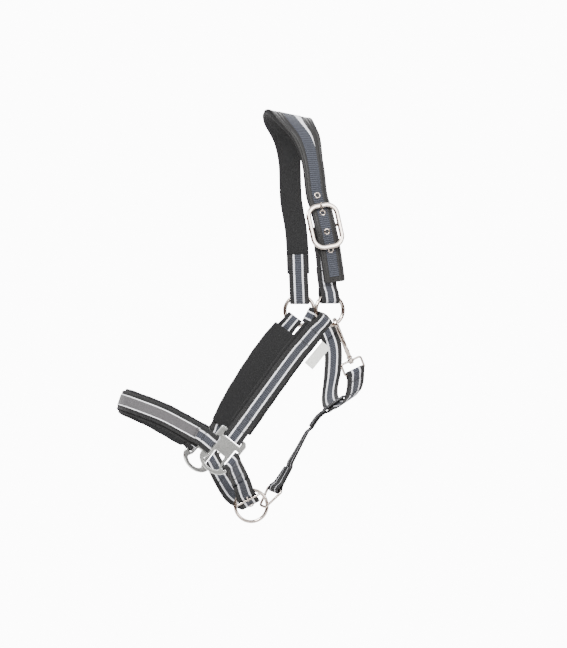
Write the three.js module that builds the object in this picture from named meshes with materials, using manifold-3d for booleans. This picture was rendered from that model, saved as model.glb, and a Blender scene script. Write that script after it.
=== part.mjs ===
// A headcollar for a horse, made of striped webbing with soft padding and metal fittings.
// Millimetres. +X runs towards the horse's neck, -Y is the horse's left side, +Z is up.
// The origin is the middle of the crown's inner face, where the headcollar hangs on the poll.
import * as THREE from 'three';
import { mergeVertices } from 'three/addons/utils/BufferGeometryUtils.js';
import Module from 'manifold-3d';

const wasm = await Module();
wasm.setup();

// ---------- driving dimensions ----------
const GAP = 0.4;                  // clearance between pieces that touch
const WEB_WIDTH = 26;             // the striped webbing
const WEB_THICK = 1.8;
const PAD_WIDTH = 33;             // soft padding under the cheekpieces and the noseband
const PAD_THICK = 4;
const TAPE_WIDTH = 16;            // smooth tape on the noseband
const TAPE_THICK = 0.8;
const FOLD = 26;                  // how far a sewn webbing end runs back from its loop
const CROWN_WIDTH = { poll: 60, side: 30 };
const CROWN_LINING = { poll: 5, side: 1.7 };
const COVER_THICK = 1.5;
const WINDOW_WIDTH = { poll: 25, side: 14.5 };
const LABEL = { width: 37, height: 14, thick: 0.9, back: 37.5, proud: 2.6 };
const CHIN_EYELET = { outer: 3.5, hole: 1.8, flange: 0.7, barrel: 0.9, spacing: 25 };
const EYELET = { outer: 4.3, hole: 2.4, flange: 0.8, barrel: 1.1, spacing: 25 };
const FRAME = { width: 46, height: 62, bar: 6.2, thick: 4, corner: 17, lift: 8.4, barRadius: 2 };
const TONGUE_RADIUS = 1.1;
const RING = { radius: 19.75, wire: 2.5 };
const CHIN_RING = { radius: 21.2, wire: 2.25, barOffset: 8.8, barRadius: 1.6 };
const CASTING_THICK = 4.5;
const CASTING_TURN = 51;          // degrees that the cheek slot looks up from level
const SNAP = { middle: 7.2, half: 2.1, thick: 6.4, pinRadius: 0.9, pivot: [12, 5.9] };
const EYE = { width: 33.4, height: 19, wire: 3 };
const LINK = { height: 28.7, wire: 3.4, narrow: 5.8, wide: 14.4 };
const JAW_WIDTH = 20;

// ---------- colours ----------
const COLOURS = {
  web: [0x24242a, 0.85, 0.0],
  pad: [0x1b1e20, 0.9, 0.0],
  cover: [0x2b2a2a, 0.7, 0.0],
  stripe: [0x555c6c, 0.85, 0.0],
  tape: [0x6b6b6c, 0.8, 0.0],
  label: [0xe1e2de, 0.8, 0.0],
  casting: [0xa9b0ae, 0.45, 0.9],
  bright: [0xdcdcda, 0.15, 1.0],
  brass: [0xe6e0d6, 0.2, 1.0],
};

const group = new THREE.Group();
const vec = (x, y, z) => new THREE.Vector3(x, y, z);
const rad = (degrees) => THREE.MathUtils.degToRad(degrees);
const mirrored = ([x, y, z]) => [x, -y, z];

// ---------- geometry helpers ----------

function add(name, geometry, look, frame = null) {
  const [color, roughness, metalness] = COLOURS[look];
  const material = new THREE.MeshStandardMaterial({ color, roughness, metalness });
  const mesh = new THREE.Mesh(geometry, material);
  mesh.name = name;
  if (frame) mesh.applyMatrix4(frame);
  group.add(mesh);
  return mesh;
}

// A frame from an origin and two directions: x is kept, y is squared up to it.
function frameAt(origin, x, y) {
  const ex = x.clone().normalize();
  const ez = ex.clone().cross(y).normalize();
  const ey = ez.clone().cross(ex);
  return new THREE.Matrix4().makeBasis(ex, ey, ez).setPosition(origin);
}

function toSolid(geometry) {
  const bare = geometry.clone();
  for (const key of Object.keys(bare.attributes)) if (key !== 'position') bare.deleteAttribute(key);
  const merged = mergeVertices(bare, 1e-4);
  const mesh = new wasm.Mesh({
    numProp: 3,
    vertProperties: new Float32Array(merged.attributes.position.array),
    triVerts: new Uint32Array(merged.index.array),
  });
  return new wasm.Manifold(mesh);
}

function fromSolid(solid) {
  const { vertProperties, triVerts } = solid.getMesh();
  const geometry = new THREE.BufferGeometry();
  geometry.setAttribute('position', new THREE.BufferAttribute(new Float32Array(vertProperties), 3));
  geometry.setIndex(new THREE.BufferAttribute(new Uint32Array(triVerts), 1));
  geometry.computeVertexNormals();
  return geometry;
}

const cut = (geometry, ...tools) =>
  fromSolid(tools.reduce((solid, tool) => solid.subtract(toSolid(tool)), toSolid(geometry)));
const join = (geometry, ...tools) =>
  fromSolid(tools.reduce((solid, tool) => solid.add(toSolid(tool)), toSolid(geometry)));

function cylinder(radius, length, from, axis, sides = 14) {
  const geometry = new THREE.CylinderGeometry(radius, radius, length, sides);
  const turn = new THREE.Quaternion().setFromUnitVectors(vec(0, 1, 0), axis.clone().normalize());
  geometry.applyQuaternion(turn);
  const middle = from.clone().addScaledVector(axis.clone().normalize(), length / 2);
  return geometry.translate(middle.x, middle.y, middle.z);
}

function tube(points, radius, steps, sides = 10) {
  const section = new THREE.Shape().absarc(0, 0, radius, 0, 2 * Math.PI);
  const extrudePath = new THREE.CatmullRomCurve3(points);
  return new THREE.ExtrudeGeometry(section, { steps, curveSegments: sides / 2, extrudePath });
}

// A flat plate from a 2-D outline, centred on its own mid-plane, with a small bevel.
function plate(shape, thick, bevel, curveSegments = 8) {
  const depth = thick - 2 * bevel;
  const options = {
    depth, curveSegments,
    bevelEnabled: bevel > 0, bevelSize: bevel, bevelThickness: bevel, bevelOffset: -bevel,
    bevelSegments: 1,
  };
  return new THREE.ExtrudeGeometry(shape, options).translate(0, 0, -depth / 2);
}

function roundedRectangle(path, width, height, corner) {
  const w = width / 2;
  const h = height / 2;
  path.moveTo(-w + corner, -h);
  path.lineTo(w - corner, -h);
  path.absarc(w - corner, -h + corner, corner, -Math.PI / 2, 0);
  path.lineTo(w, h - corner);
  path.absarc(w - corner, h - corner, corner, 0, Math.PI / 2);
  path.lineTo(-w + corner, h);
  path.absarc(-w + corner, h - corner, corner, Math.PI / 2, Math.PI);
  path.lineTo(-w, -h + corner);
  path.absarc(-w + corner, -h + corner, corner, Math.PI, 1.5 * Math.PI);
  path.closePath();
  return path;
}

// The route of a strap. Each stop is a point of its line and the direction of its width there.
// Places along it are given as s, the distance along the line, and h, the height off its face.
class StrapLine {
  constructor(stops) {
    this.points = stops.map(([at]) => vec(...at));
    this.across = stops.map(([, across]) => vec(...across).normalize());
    this.curve = new THREE.CatmullRomCurve3(this.points, false, 'centripetal');
    this.curve.arcLengthDivisions = 600;
    this.length = this.curve.getLength();
  }

  frame(s) {
    const inside = THREE.MathUtils.clamp(s, 0, this.length);
    const t = this.curve.getUtoTmapping(0, inside);
    const tangent = this.curve.getTangent(t).normalize();
    const origin = this.curve.getPoint(t).addScaledVector(tangent, s - inside);
    const place = t * (this.points.length - 1);
    const first = Math.min(Math.floor(place), this.points.length - 2);
    const across = this.across[first].clone().lerp(this.across[first + 1], place - first).normalize();
    const normal = tangent.clone().cross(across).normalize();
    return { origin, tangent, across, normal };
  }

  at(s, h, x = 0) {
    const { origin, across, normal } = this.frame(s);
    return origin.addScaledVector(normal, h).addScaledVector(across, x);
  }
}

const valueAt = (value, s) => (typeof value === 'function' ? value(s) : value);

// A flat strip of the given width and thickness that follows path, a list of [s, h] on a line.
function ribbon(line, path, width, thick, corner = 0) {
  const rings = path.map(([s, h], i) => {
    const [s0, h0] = path[Math.max(i - 1, 0)];
    const [s1, h1] = path[Math.min(i + 1, path.length - 1)];
    const { origin, tangent, across, normal } = line.frame(s);
    const run = Math.hypot(s1 - s0, h1 - h0);
    const out = tangent.clone().multiplyScalar(-(h1 - h0) / run).addScaledVector(normal, (s1 - s0) / run);
    const middle = origin.addScaledVector(normal, h);
    const w = valueAt(width, s) / 2;
    const t = valueAt(thick, s) / 2;
    const chamfered = [
      [-w + corner, -t], [w - corner, -t], [w, -t + corner], [w, t - corner],
      [w - corner, t], [-w + corner, t], [-w, t - corner], [-w, -t + corner],
    ];
    const outline = corner > 0 ? chamfered : [[-w, -t], [w, -t], [w, t], [-w, t]];
    return outline.map(([x, y]) => middle.clone().addScaledVector(across, x).addScaledVector(out, y));
  });
  return loft(rings);
}

// A closed solid through a row of rings that have the same number of points.
function loft(rings) {
  const count = rings[0].length;
  const positions = rings.flat().flatMap((p) => [p.x, p.y, p.z]);
  const index = [];
  for (let i = 0; i + 1 < rings.length; i += 1) {
    for (let j = 0; j < count; j += 1) {
      const a = i * count + j;
      const b = i * count + ((j + 1) % count);
      index.push(a, b, b + count, a, b + count, a + count);
    }
  }
  const last = (rings.length - 1) * count;
  for (let j = 1; j + 1 < count; j += 1) {
    index.push(0, j + 1, j);
    index.push(last, last + j, last + j + 1);
  }
  const geometry = new THREE.BufferGeometry();
  geometry.setAttribute('position', new THREE.Float32BufferAttribute(positions, 3));
  geometry.setIndex(signedVolume(positions, index) < 0 ? index.reverse() : index);
  geometry.computeVertexNormals();
  return geometry;
}

function signedVolume(positions, index) {
  let volume = 0;
  for (let i = 0; i < index.length; i += 3) {
    const [a, b, c] = [0, 1, 2].map((k) => vec(...positions.slice(3 * index[i + k], 3 * index[i + k] + 3)));
    volume += a.dot(b.cross(c)) / 6;
  }
  return volume;
}

// ---------- routes in the (s, h) plane of a strap line ----------

// A straight stretch. Its stations between the two ends are whole multiples of STATION, so that
// layers on one line share them and stay parallel on a curve.
function run([s0, h0], [s1, h1], step = STATION) {
  const way = Math.sign(s1 - s0);
  const [low, high] = [Math.min(s0, s1) + 2, Math.max(s0, s1) - 2];
  const between = [];
  for (let s = Math.ceil(low / step) * step; s <= high; s += step) between.push(s);
  if (way < 0) between.reverse();
  return [s0, ...between, s1].map((s) => [s, h0 + ((h1 - h0) * (s - s0)) / (s1 - s0)]);
}

function bend(s, h, radius, from, to, count = 6) {
  return Array.from({ length: count + 1 }, (_, i) => {
    const angle = rad(from + ((to - from) * i) / count);
    return [s + radius * Math.cos(angle), h + radius * Math.sin(angle)];
  });
}

const LAYER = WEB_THICK / 2 + GAP / 2;
const PAD_MIDDLE = -2 * LAYER - 0.5 - PAD_THICK / 2;
const STATION = 9;

// Webbing whose two ends are folded round something and sewn down under the strap. An end's loop
// is fully open from `open` before the line's end to `reach` past it, where a bend of `radius` closes it.
function loopedRoute(length, start, end, middle = -LAYER) {
  const neck = ({ open, radius }) => open + 2.2 * (radius - LAYER) + 1;
  return [
    ...run([neck(start) + FOLD, -LAYER], [neck(start), -LAYER]),
    [start.open, -start.radius],
    ...bend(-start.reach, 0, start.radius, -90, -270),
    [start.open, start.radius],
    ...run([neck(start), LAYER], [neck(start) + FOLD + 2, LAYER]),
    ...run([neck(start) + FOLD + 10, middle], [length - neck(end) - FOLD - 10, middle]),
    ...run([length - neck(end) - FOLD - 2, LAYER], [length - neck(end), LAYER]),
    [length - end.open, end.radius],
    ...bend(length + end.reach, 0, end.radius, 90, -90),
    [length - end.open, -end.radius],
    ...run([length - neck(end), -LAYER], [length - neck(end) - FOLD, -LAYER]),
  ];
}

// ---------- directions and places ----------
const SIDEWAYS = vec(0.978, -0.208, 0);   // along the left cheek at the side casting
const UP = vec(0, 0, 1);
const OUTWARD = vec(-0.208, -0.978, 0);   // off the left cheek at the side casting

const CASTING_AT = [-95.5, -62, -435.3];
const turn = rad(CASTING_TURN);
const E1 = SIDEWAYS.clone().multiplyScalar(Math.cos(turn)).addScaledVector(UP, Math.sin(turn));
const E2 = SIDEWAYS.clone().multiplyScalar(Math.sin(turn)).addScaledVector(UP, -Math.cos(turn));
const onCasting = (x, y) => vec(...CASTING_AT).addScaledVector(E2, x).addScaledVector(E1, y).toArray();

const RING_AT = [38, -94, -254.8];
const RING_SIDE = vec(0.975, 0.222, 0);   // level direction in the upper ring's plane
const onRing = (degrees, radius = RING.radius) => vec(...RING_AT)
  .addScaledVector(RING_SIDE, radius * Math.cos(rad(degrees)))
  .addScaledVector(UP, radius * Math.sin(rad(degrees))).toArray();
const HANGER_ANGLE = 93;
const CHEEK_ANGLE = 233;
const SNAP_ANGLE = 299;
const THROAT_ANGLE = 332;         // the throat strap's loop, on the right ring

const BAR_AT = [31.4, -87, -145.2];       // middle of the crown buckle's centre bar
const BAR_ACROSS = [0.980, 0.100, 0.174];

// ---------- crown ----------
const crownSide = [
  [[0.5, -22, -1.8], [0.98, 0, -0.18]],
  [[4.2, -39, -10.5], [0.99, 0.02, -0.10]],
  [[14.2, -57.2, -29], [1, 0.04, -0.03]],
  [[20, -72, -62], [1, 0.06, 0.04]],
  [[23.8, -81.5, -106], [0.99, 0.08, 0.12]],
];
const crownTail = [
  [[28, -84.2, -120], [0.982, 0.09, 0.15]],
  [[32.2, -91.9, -143.8], BAR_ACROSS],
  [[38, -91.6, -170], [0.978, 0.11, 0.17]],
  [[42, -93.4, -198], [0.977, 0.14, 0.14]],
  [[44.6, -94.6, -218], [0.974, 0.16, 0.13]],
];
const crownFarEnd = [
  [[36.3, -91, -219], RING_SIDE.toArray()],
  [[32, -86.6, -150], [0.985, 0.12, 0.06]],
];
const mirrorStop = ([at, across]) => [mirrored(at), mirrored(across)];
const crownLine = new StrapLine([
  ...crownFarEnd.map(mirrorStop),
  ...[...crownSide].reverse().map(mirrorStop),
  [[0, 0, 0], [0.98, 0, -0.2]],
  ...crownSide,
  ...crownTail,
]);
const pollAt = new StrapLine([...crownFarEnd.map(mirrorStop),
  ...[...crownSide].reverse().map(mirrorStop), [[0, 0, 0], [0.98, 0, -0.2]]]).length;
const crownLength = crownLine.length;

// 1 at the poll, easing down to 0 on the cheeks
const nearPoll = (s) => 1 - THREE.MathUtils.smoothstep(Math.abs(s - pollAt), 8, 108);
const blended = ({ poll, side }) => (s) => side + (poll - side) * nearPoll(s);
const crownWidth = blended(CROWN_WIDTH);
const liningThick = blended(CROWN_LINING);
const windowWidth = blended(WINDOW_WIDTH);
const coverHeight = (s) => liningThick(s) + GAP * (1 + nearPoll(s)) + COVER_THICK / 2;

const TONGUE_HOLE_AT = 18;        // from the centre bar up to the eyelet that the tongue takes
const WINDOW_END = 7;             // from the window's end to the crown's end

function crownRoute(from, to, height) {
  return run([from, 0], [to, 0]).map(([s]) => [s, height(s)]);
}

const BAR_S = nearestS(crownLine, vec(...BAR_AT));

function nearestS(line, point) {
  let best = 0;
  for (let s = 0; s < line.length; s += 0.5) {
    if (line.at(s, 0).distanceTo(point) < line.at(best, 0).distanceTo(point)) best = s;
  }
  return best;
}

const eyeletPlaces = [-2, -1, 0, 1].map((i) => BAR_S - TONGUE_HOLE_AT + (i + 1) * EYELET.spacing);

// ---------- crown buckle ----------
const buckleFrame = frameAt(vec(...BAR_AT), vec(...BAR_ACROSS), vec(-0.178, 0.146, 0.973));

const tongueHole = crownLine.at(BAR_S - TONGUE_HOLE_AT, coverHeight(BAR_S) + 0.4)
  .applyMatrix4(buckleFrame.clone().invert()).add(vec(0, 0.8, 0));

function tongueShaft(radius) {
  const points = [
    vec(0, 2.6, 0.4), vec(0, 10.5, 1.3), vec(0, 18.4, 4), tongueHole,
    vec(0, 20.8, 11.4), vec(0, 25, 13), vec(0, 31.5, 12.9),
  ];
  return tube(points, radius, 14, 8);
}

function crownBuckle() {
  const { width, height, bar, thick, corner, lift, barRadius } = FRAME;
  const outline = roundedRectangle(new THREE.Shape(), width, height, corner);
  outline.holes.push(roundedRectangle(new THREE.Path(), width - 2 * bar, height - 2 * bar, corner - bar));
  const rim = plate(outline, thick, 0.9, 4).translate(0, 0, lift);
  const half = width / 2 - bar / 2;
  const legs = [-1, 1].map((side) => cylinder(barRadius, lift, vec(side * half, 0, 0), UP, 12));
  const bridge = cylinder(barRadius, 2 * half, vec(-half, 0, 0), vec(1, 0, 0), 12);
  const ends = [-1, 1].map((side) => new THREE.SphereGeometry(barRadius, 12, 8).translate(side * half, 0, 0));
  add('crown_buckle_frame', join(rim, ...legs, bridge, ...ends), 'bright', buckleFrame);

  const eye = cut(cylinder(barRadius + 1.7, 4, vec(-2, 0, 0), vec(1, 0, 0), 14),
    cylinder(barRadius + 0.35, 8, vec(-4, 0, 0), vec(1, 0, 0), 14));
  const clear = cylinder(barRadius + 0.35, 8, vec(-4, 0, 0), vec(1, 0, 0), 14);
  add('crown_buckle_tongue', cut(join(eye, tongueShaft(TONGUE_RADIUS)), clear), 'bright', buckleFrame);
}

function crown() {
  const tongueRoom = tongueShaft(TONGUE_RADIUS + 1.1).applyMatrix4(buckleFrame);
  const holes = eyeletPlaces.map((s) => {
    const { origin, normal } = crownLine.frame(s);
    return cylinder(EYELET.hole, 20, origin.addScaledVector(normal, -6), normal, 12);
  });
  const seats = eyeletPlaces.map((s) => {
    const { normal } = crownLine.frame(s);
    const top = crownLine.at(s, coverHeight(s) + COVER_THICK / 2 - EYELET.barrel - 0.3);
    return cylinder(EYELET.hole + 1.2, 9, top, normal, 12);
  });
  const lining = ribbon(crownLine, crownRoute(14, crownLength, (s) => liningThick(s) / 2),
    crownWidth, liningThick);
  add('crown_lining', cut(lining, tongueRoom, ...holes), 'pad');

  const cover = ribbon(crownLine, crownRoute(16, crownLength - 0.6, coverHeight),
    (s) => crownWidth(s) - 2.5, COVER_THICK);
  const opening = ribbon(crownLine, crownRoute(30, crownLength - WINDOW_END, coverHeight),
    windowWidth, 3 * COVER_THICK);
  add('crown_cover', cut(cover, opening), 'cover');

  const band = ribbon(crownLine,
    crownRoute(30 + GAP, crownLength - WINDOW_END - GAP, (s) => coverHeight(s) - 0.15),
    (s) => windowWidth(s) - 2 * GAP, COVER_THICK - 0.3);
  add('crown_webbing', cut(band, tongueRoom, ...holes, ...seats), 'stripe');

  eyeletPlaces.forEach((s, i) => {
    const { across, tangent } = crownLine.frame(s);
    const seat = crownLine.at(s, coverHeight(s) + COVER_THICK / 2 + 0.05);
    eyelet(`crown_eyelet_${i + 1}`, EYELET, frameAt(seat, across, tangent.clone().negate()));
  });
}

function eyelet(name, { outer, hole, flange, barrel }, frame) {
  const profile = [[hole, -barrel], [hole + 0.7, -barrel], [hole + 0.7, 0], [outer, 0], [outer, 0.3],
    [outer - 0.9, flange], [hole, flange * 0.6], [hole, -barrel]].map(([x, y]) => new THREE.Vector2(x, y));
  const grommet = new THREE.LatheGeometry(profile, 12).rotateX(Math.PI / 2);
  add(name, grommet, 'brass', frame);
}

// ---------- rings and the webbing round them ----------
const RING_LOOP = { open: 3, reach: 6, radius: RING.wire + 1.1 + WEB_THICK / 2 };
const NARROW_LOOP = { ...RING_LOOP, reach: 4.8, width: 22.5 };

function upperRing(name, side) {
  const torus = new THREE.TorusGeometry(RING.radius, RING.wire, 8, 36);
  const place = (v) => (side < 0 ? v : vec(v.x, -v.y, v.z));
  add(name, torus, 'bright', frameAt(place(vec(...RING_AT)), place(RING_SIDE), UP));
}

function hanger() {
  const line = new StrapLine([
    [BAR_AT, BAR_ACROSS],
    [[31.2, -88.5, -167], [0.985, 0.12, 0.10]],
    [[33.8, -91.8, -207], [0.975, 0.21, 0.03]],
    [onRing(HANGER_ANGLE), RING_SIDE.toArray()],
  ]);
  const bar = { open: 1, reach: 0, radius: FRAME.barRadius + GAP + WEB_THICK / 2 };
  const strap = ribbon(line, loopedRoute(line.length, bar, RING_LOOP, LAYER), WEB_WIDTH, WEB_THICK);
  const slot = new THREE.BoxGeometry(5.6, 14, 14).translate(0, 3, 0).applyMatrix4(buckleFrame);
  add('hanger_webbing', cut(strap, slot), 'web');
}

// The crown's right end has no buckle: a webbing loop sewn over it holds the right ring.
function crownEndLoop() {
  const wire = -nearestDistance(mirrored(onRing(HANGER_ANGLE)));
  const { open, reach, radius } = RING_LOOP;
  const middle = liningThick(0) / 2 + 0.9;
  const above = coverHeight(0) + COVER_THICK / 2 + GAP + WEB_THICK / 2;
  const below = -GAP - WEB_THICK / 2;
  const route = [
    ...run([44, above], [14, above]),
    [wire + open, middle + radius],
    ...bend(wire - reach, middle, radius, 90, 270),
    [wire + open, middle - radius],
    ...run([14, below], [40, below]),
  ];
  add('crown_end_webbing', ribbon(crownLine, route, WEB_WIDTH, WEB_THICK), 'web');
}

// How far a place lies before the start of the crown's line.
function nearestDistance(place) {
  const { origin, tangent } = crownLine.frame(0);
  return origin.sub(vec(...place)).dot(tangent);
}

// ---------- cheekpieces ----------
function cheekStops(side) {
  const bar = onCasting(0.5, 18.9);
  const wire = onRing(CHEEK_ANGLE);
  const tangent = [-Math.sin(rad(CHEEK_ANGLE)), Math.cos(rad(CHEEK_ANGLE))];
  const atRing = RING_SIDE.clone().multiplyScalar(tangent[0]).addScaledVector(UP, tangent[1]).toArray();
  const stops = [
    [bar, E2.toArray()],
    [[-53, -85, -374], [0.79, 0.02, -0.61]],
    [[-7.2, -97, -310], [0.79, 0.12, -0.60]],
    [wire, atRing],
  ];
  return side < 0 ? stops : stops.map(mirrorStop);
}

// The StrapLine's normal has to face away from the head on both sides.
function facing(stops, outward) {
  const line = new StrapLine(stops);
  if (line.frame(line.length / 2).normal.dot(outward) > 0) return line;
  return new StrapLine(stops.map(([at, across]) => [at, across.map((v) => -v)]));
}

function cheekpiece(name, side) {
  const line = facing(cheekStops(side), vec(0, side, 0));
  const bar = { open: 1, reach: 0, radius: 4.2 };
  const route = loopedRoute(line.length, bar, NARROW_LOOP);
  const width = (s) => (s > line.length - 10 ? NARROW_LOOP.width : WEB_WIDTH);
  add(`cheek_webbing_${name}`, ribbon(line, route, width, WEB_THICK), 'web');
  const pad = ribbon(line, run([12, PAD_MIDDLE], [line.length - 12, PAD_MIDDLE]), PAD_WIDTH, PAD_THICK, 1.4);
  add(`cheek_pad_${name}`, pad, 'pad');
  return line;
}

function labelTab(line) {
  const { width, height, thick, back, proud } = LABEL;
  const shape = roundedRectangle(new THREE.Shape(), width, height, 0.8);
  const s = line.length - back;
  const { across, tangent, normal } = line.frame(s);
  const away = across.dot(vec(1, 0, -1)) > 0 ? across : across.clone().negate();
  const at = line.at(s, -2 * LAYER).addScaledVector(away, PAD_WIDTH / 2 + height / 2 + proud);
  const bent = away.clone().addScaledVector(normal, 0.12);
  add('label_tab', plate(shape, thick, 0, 3), 'label', frameAt(at, tangent, bent));
}

// ---------- side castings ----------
function castingOutline() {
  const shape = new THREE.Shape();
  shape.moveTo(-21.6, -24);
  shape.absellipse(0.1, -24, 21.7, 15, Math.PI, 2 * Math.PI);
  shape.lineTo(21.8, 5.5);
  shape.lineTo(21.8, 15.5);
  shape.lineTo(17.5, 20.9);
  shape.lineTo(-20, 20.9);
  shape.lineTo(-21.6, 19);
  shape.closePath();

  const cheekSlot = new THREE.Path();
  cheekSlot.moveTo(-13.2, 11.3);
  cheekSlot.lineTo(14.2, 11.3);
  cheekSlot.lineTo(14.2, 16.9);
  cheekSlot.lineTo(-13.2, 16.9);
  cheekSlot.closePath();

  const noseSlot = new THREE.Path();
  noseSlot.moveTo(-17.9, -22);
  noseSlot.lineTo(-12.6, -22);
  noseSlot.lineTo(-12.6, 5.8);
  noseSlot.lineTo(-17.9, 5.8);
  noseSlot.closePath();

  const chinSlot = new THREE.Path();
  chinSlot.moveTo(12.7, -25.2);
  chinSlot.lineTo(17.9, -25.2);
  chinSlot.lineTo(17.9, 4.8);
  chinSlot.lineTo(12.7, 4.8);
  chinSlot.closePath();

  const dee = new THREE.Path();
  dee.moveTo(-8.2, -10.8);
  dee.lineTo(7.4, -10.8);
  dee.lineTo(9.2, -23);
  dee.lineTo(12, -28.4);
  dee.absellipse(-0.9, -26.2, 13, 8, rad(-18), rad(-162), true);
  dee.lineTo(-9.6, -22);
  dee.closePath();
  shape.holes.push(cheekSlot, noseSlot, chinSlot, dee);
  return shape;
}

function sideCasting(name, side) {
  const body = plate(castingOutline(), CASTING_THICK, 0.6, 10);
  const at = vec(...CASTING_AT);
  if (side < 0) {
    add(`side_casting_${name}`, body, 'casting', frameAt(at, E2, E1));
    return;
  }
  const flip = (v) => vec(v.x, -v.y, v.z);
  const turned = body.clone().rotateY(Math.PI);
  add(`side_casting_${name}`, turned, 'casting', frameAt(flip(at), flip(E2).negate(), flip(E1)));
}

// ---------- noseband ----------
function noseband() {
  const half = [
    [onCasting(-19.75, -8.2), E1.toArray()],
    [[-124, -57.6, -422.4], [0.54, -0.06, 0.84]],
    [[-143, -55.5, -411.5], [0.45, 0.02, 0.89]],
    [[-175, -49, -394], [0.42, 0.02, 0.91]],
    [[-205, -38, -381.5], [0.38, 0, 0.925]],
    [[-221, -22, -375], [0.34, 0, 0.94]],
  ];
  const line = facing([...half, [[-225, 0, -373], [0.32, 0, 0.947]], ...[...half].reverse().map(mirrorStop)],
    vec(-1, 0, 0));
  const bar = { open: 1, reach: 0, radius: 4.2 };
  const top = -LAYER;
  add('noseband_webbing', ribbon(line, loopedRoute(line.length, bar, bar), WEB_WIDTH, WEB_THICK), 'web');
  const ends = 11;
  const pad = ribbon(line, run([ends, PAD_MIDDLE], [line.length - ends, PAD_MIDDLE]),
    PAD_WIDTH, PAD_THICK, 1.4);
  add('noseband_pad', pad, 'pad');
  const over = top + WEB_THICK / 2 + GAP + TAPE_THICK / 2;
  const from = FOLD + 20;
  const tape = ribbon(line, run([from, over], [line.length - from, over]), TAPE_WIDTH, TAPE_THICK);
  add('noseband_tape', tape, 'tape');
}

// ---------- chin ----------
const CHIN_AT = vec(-51, -14, -514.4);
const CHIN_BAR = vec(0.869, -0.185, 0.46);        // along the straight bar
const CHIN_TOP = vec(-0.450, 0.096, 0.888);       // in the ring's plane, square to the bar
const onChin = (x, q, t) => CHIN_AT.clone().addScaledVector(CHIN_BAR, x)
  .addScaledVector(CHIN_TOP, q).addScaledVector(OUTWARD, t);
const chinLoop = { reach: 1.6, radius: 4.15 };

const chinNear = new StrapLine([
  [onCasting(19.8, -11.2), E1.toArray()],
  [[-75.5, -42, -472], [0.72, -0.16, 0.66]],
  [[-65.3, -19.5, -486], [0.86, -0.17, 0.48]],
  [onChin(0, CHIN_RING.radius, 0).toArray(), CHIN_BAR.toArray()],
]);

function chinRing() {
  const { radius, wire, barOffset, barRadius } = CHIN_RING;
  const half = Math.sqrt(radius ** 2 - barOffset ** 2);
  const torus = new THREE.TorusGeometry(radius, wire, 8, 36);
  const bar = cylinder(barRadius, 2 * half, vec(-half, barOffset, 0), vec(1, 0, 0), 12);
  add('chin_ring', join(torus, bar), 'bright', frameAt(CHIN_AT, CHIN_BAR, CHIN_TOP));
}

function chinStraps() {
  const line = chinNear;
  const end = line.length;
  const near = ribbon(line, [
    ...run([FOLD, -LAYER], [11, -LAYER]),
    ...bend(0, 0, 4.2, -90, -270),
    ...run([11, LAYER], [end - 13, LAYER]),
    ...bend(end + chinLoop.reach, 0, chinLoop.radius, 90, -90),
    ...run([end - 13, -LAYER], [end - 24, -LAYER]),
  ], (s) => (s > end - 15 ? 14 : WEB_WIDTH), WEB_THICK);
  const tongueSlot = new THREE.BoxGeometry(5.4, 22, 18).applyMatrix4(
    frameAt(onChin(0, CHIN_RING.radius - 4, 0), CHIN_BAR, CHIN_TOP));
  add('chin_strap_left', cut(near, tongueSlot), 'web');

  const lying = (back, h) => line.at(end - back, h).toArray();
  const bar = CHIN_BAR.toArray();
  const stops = [
    [mirrored(onCasting(19.8, -11.2)), mirrored(E1.toArray())],
    [[-77, 44, -482], [0.72, 0.1, 0.68]],
    [[-66, 20, -503], [0.80, -0.04, 0.59]],
    [onChin(0, 0.5, -12).toArray(), bar],
    [onChin(0, 5.5, -5.2).toArray(), bar],
    [onChin(0, 9.4, -3.1).toArray(), bar],
    [onChin(0, 12.4, 0.4).toArray(), bar],
    [onChin(0, 14.4, 4.2).toArray(), bar],
    [lying(-1, 7.2), bar],
    [lying(7, 5.6), bar],
    [lying(15, 4.2), line.frame(end - 15).across.toArray()],
    [lying(24, 3.6), line.frame(end - 24).across.toArray()],
  ];
  const far = new StrapLine(stops);
  const length = far.length;
  const strap = ribbon(far, [
    ...run([FOLD, -LAYER], [11, -LAYER]),
    ...bend(0, 0, 4.2, -90, -270),
    ...run([11, LAYER], [FOLD + 2, LAYER]),
    ...run([FOLD + 10, 0], [length - 58, 0]),
    ...run([length - 55, 0], [length, 0], 3),
  ], WEB_WIDTH, WEB_THICK);
  const tongueRoom = chinTongueShaft(1.2 + 0.9).applyMatrix4(chinFrame);
  const first = nearestS(far, onChin(0, 1.6, -10.4));
  const places = [0, 1].map((i) => first - i * CHIN_EYELET.spacing);
  const holes = places.map((s) => cylinder(CHIN_EYELET.hole + 1.1, 12,
    far.at(s, -6), far.frame(s).normal, 12));
  add('chin_strap_right', cut(strap, tongueRoom, ...holes), 'web');
  places.forEach((s, i) => {
    const { across, tangent } = far.frame(s);
    eyelet(`chin_eyelet_${i + 1}`, CHIN_EYELET, frameAt(far.at(s, -WEB_THICK / 2 - 0.5), across, tangent));
  });
}

const chinFrame = frameAt(CHIN_AT, CHIN_BAR, CHIN_TOP);
const chinTongueShaft = (radius) => tube(
  [vec(0, 18.6, 1.6), vec(0, 14, 2.9), vec(0, 9, 3.4), vec(0, 6.4, 3.2)], radius, 6, 10);

function chinTongue() {
  const { radius, wire } = CHIN_RING;
  const across = vec(1, 0, 0);
  const eye = cylinder(wire + 1.7, 3.6, vec(-1.8, radius, 0), across, 14);
  const bore = cylinder(wire + 0.45, 6, vec(-3, radius, 0), across, 14);
  add('chin_tongue', cut(join(eye, chinTongueShaft(1.2)), bore), 'bright', chinFrame);
}

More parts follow.
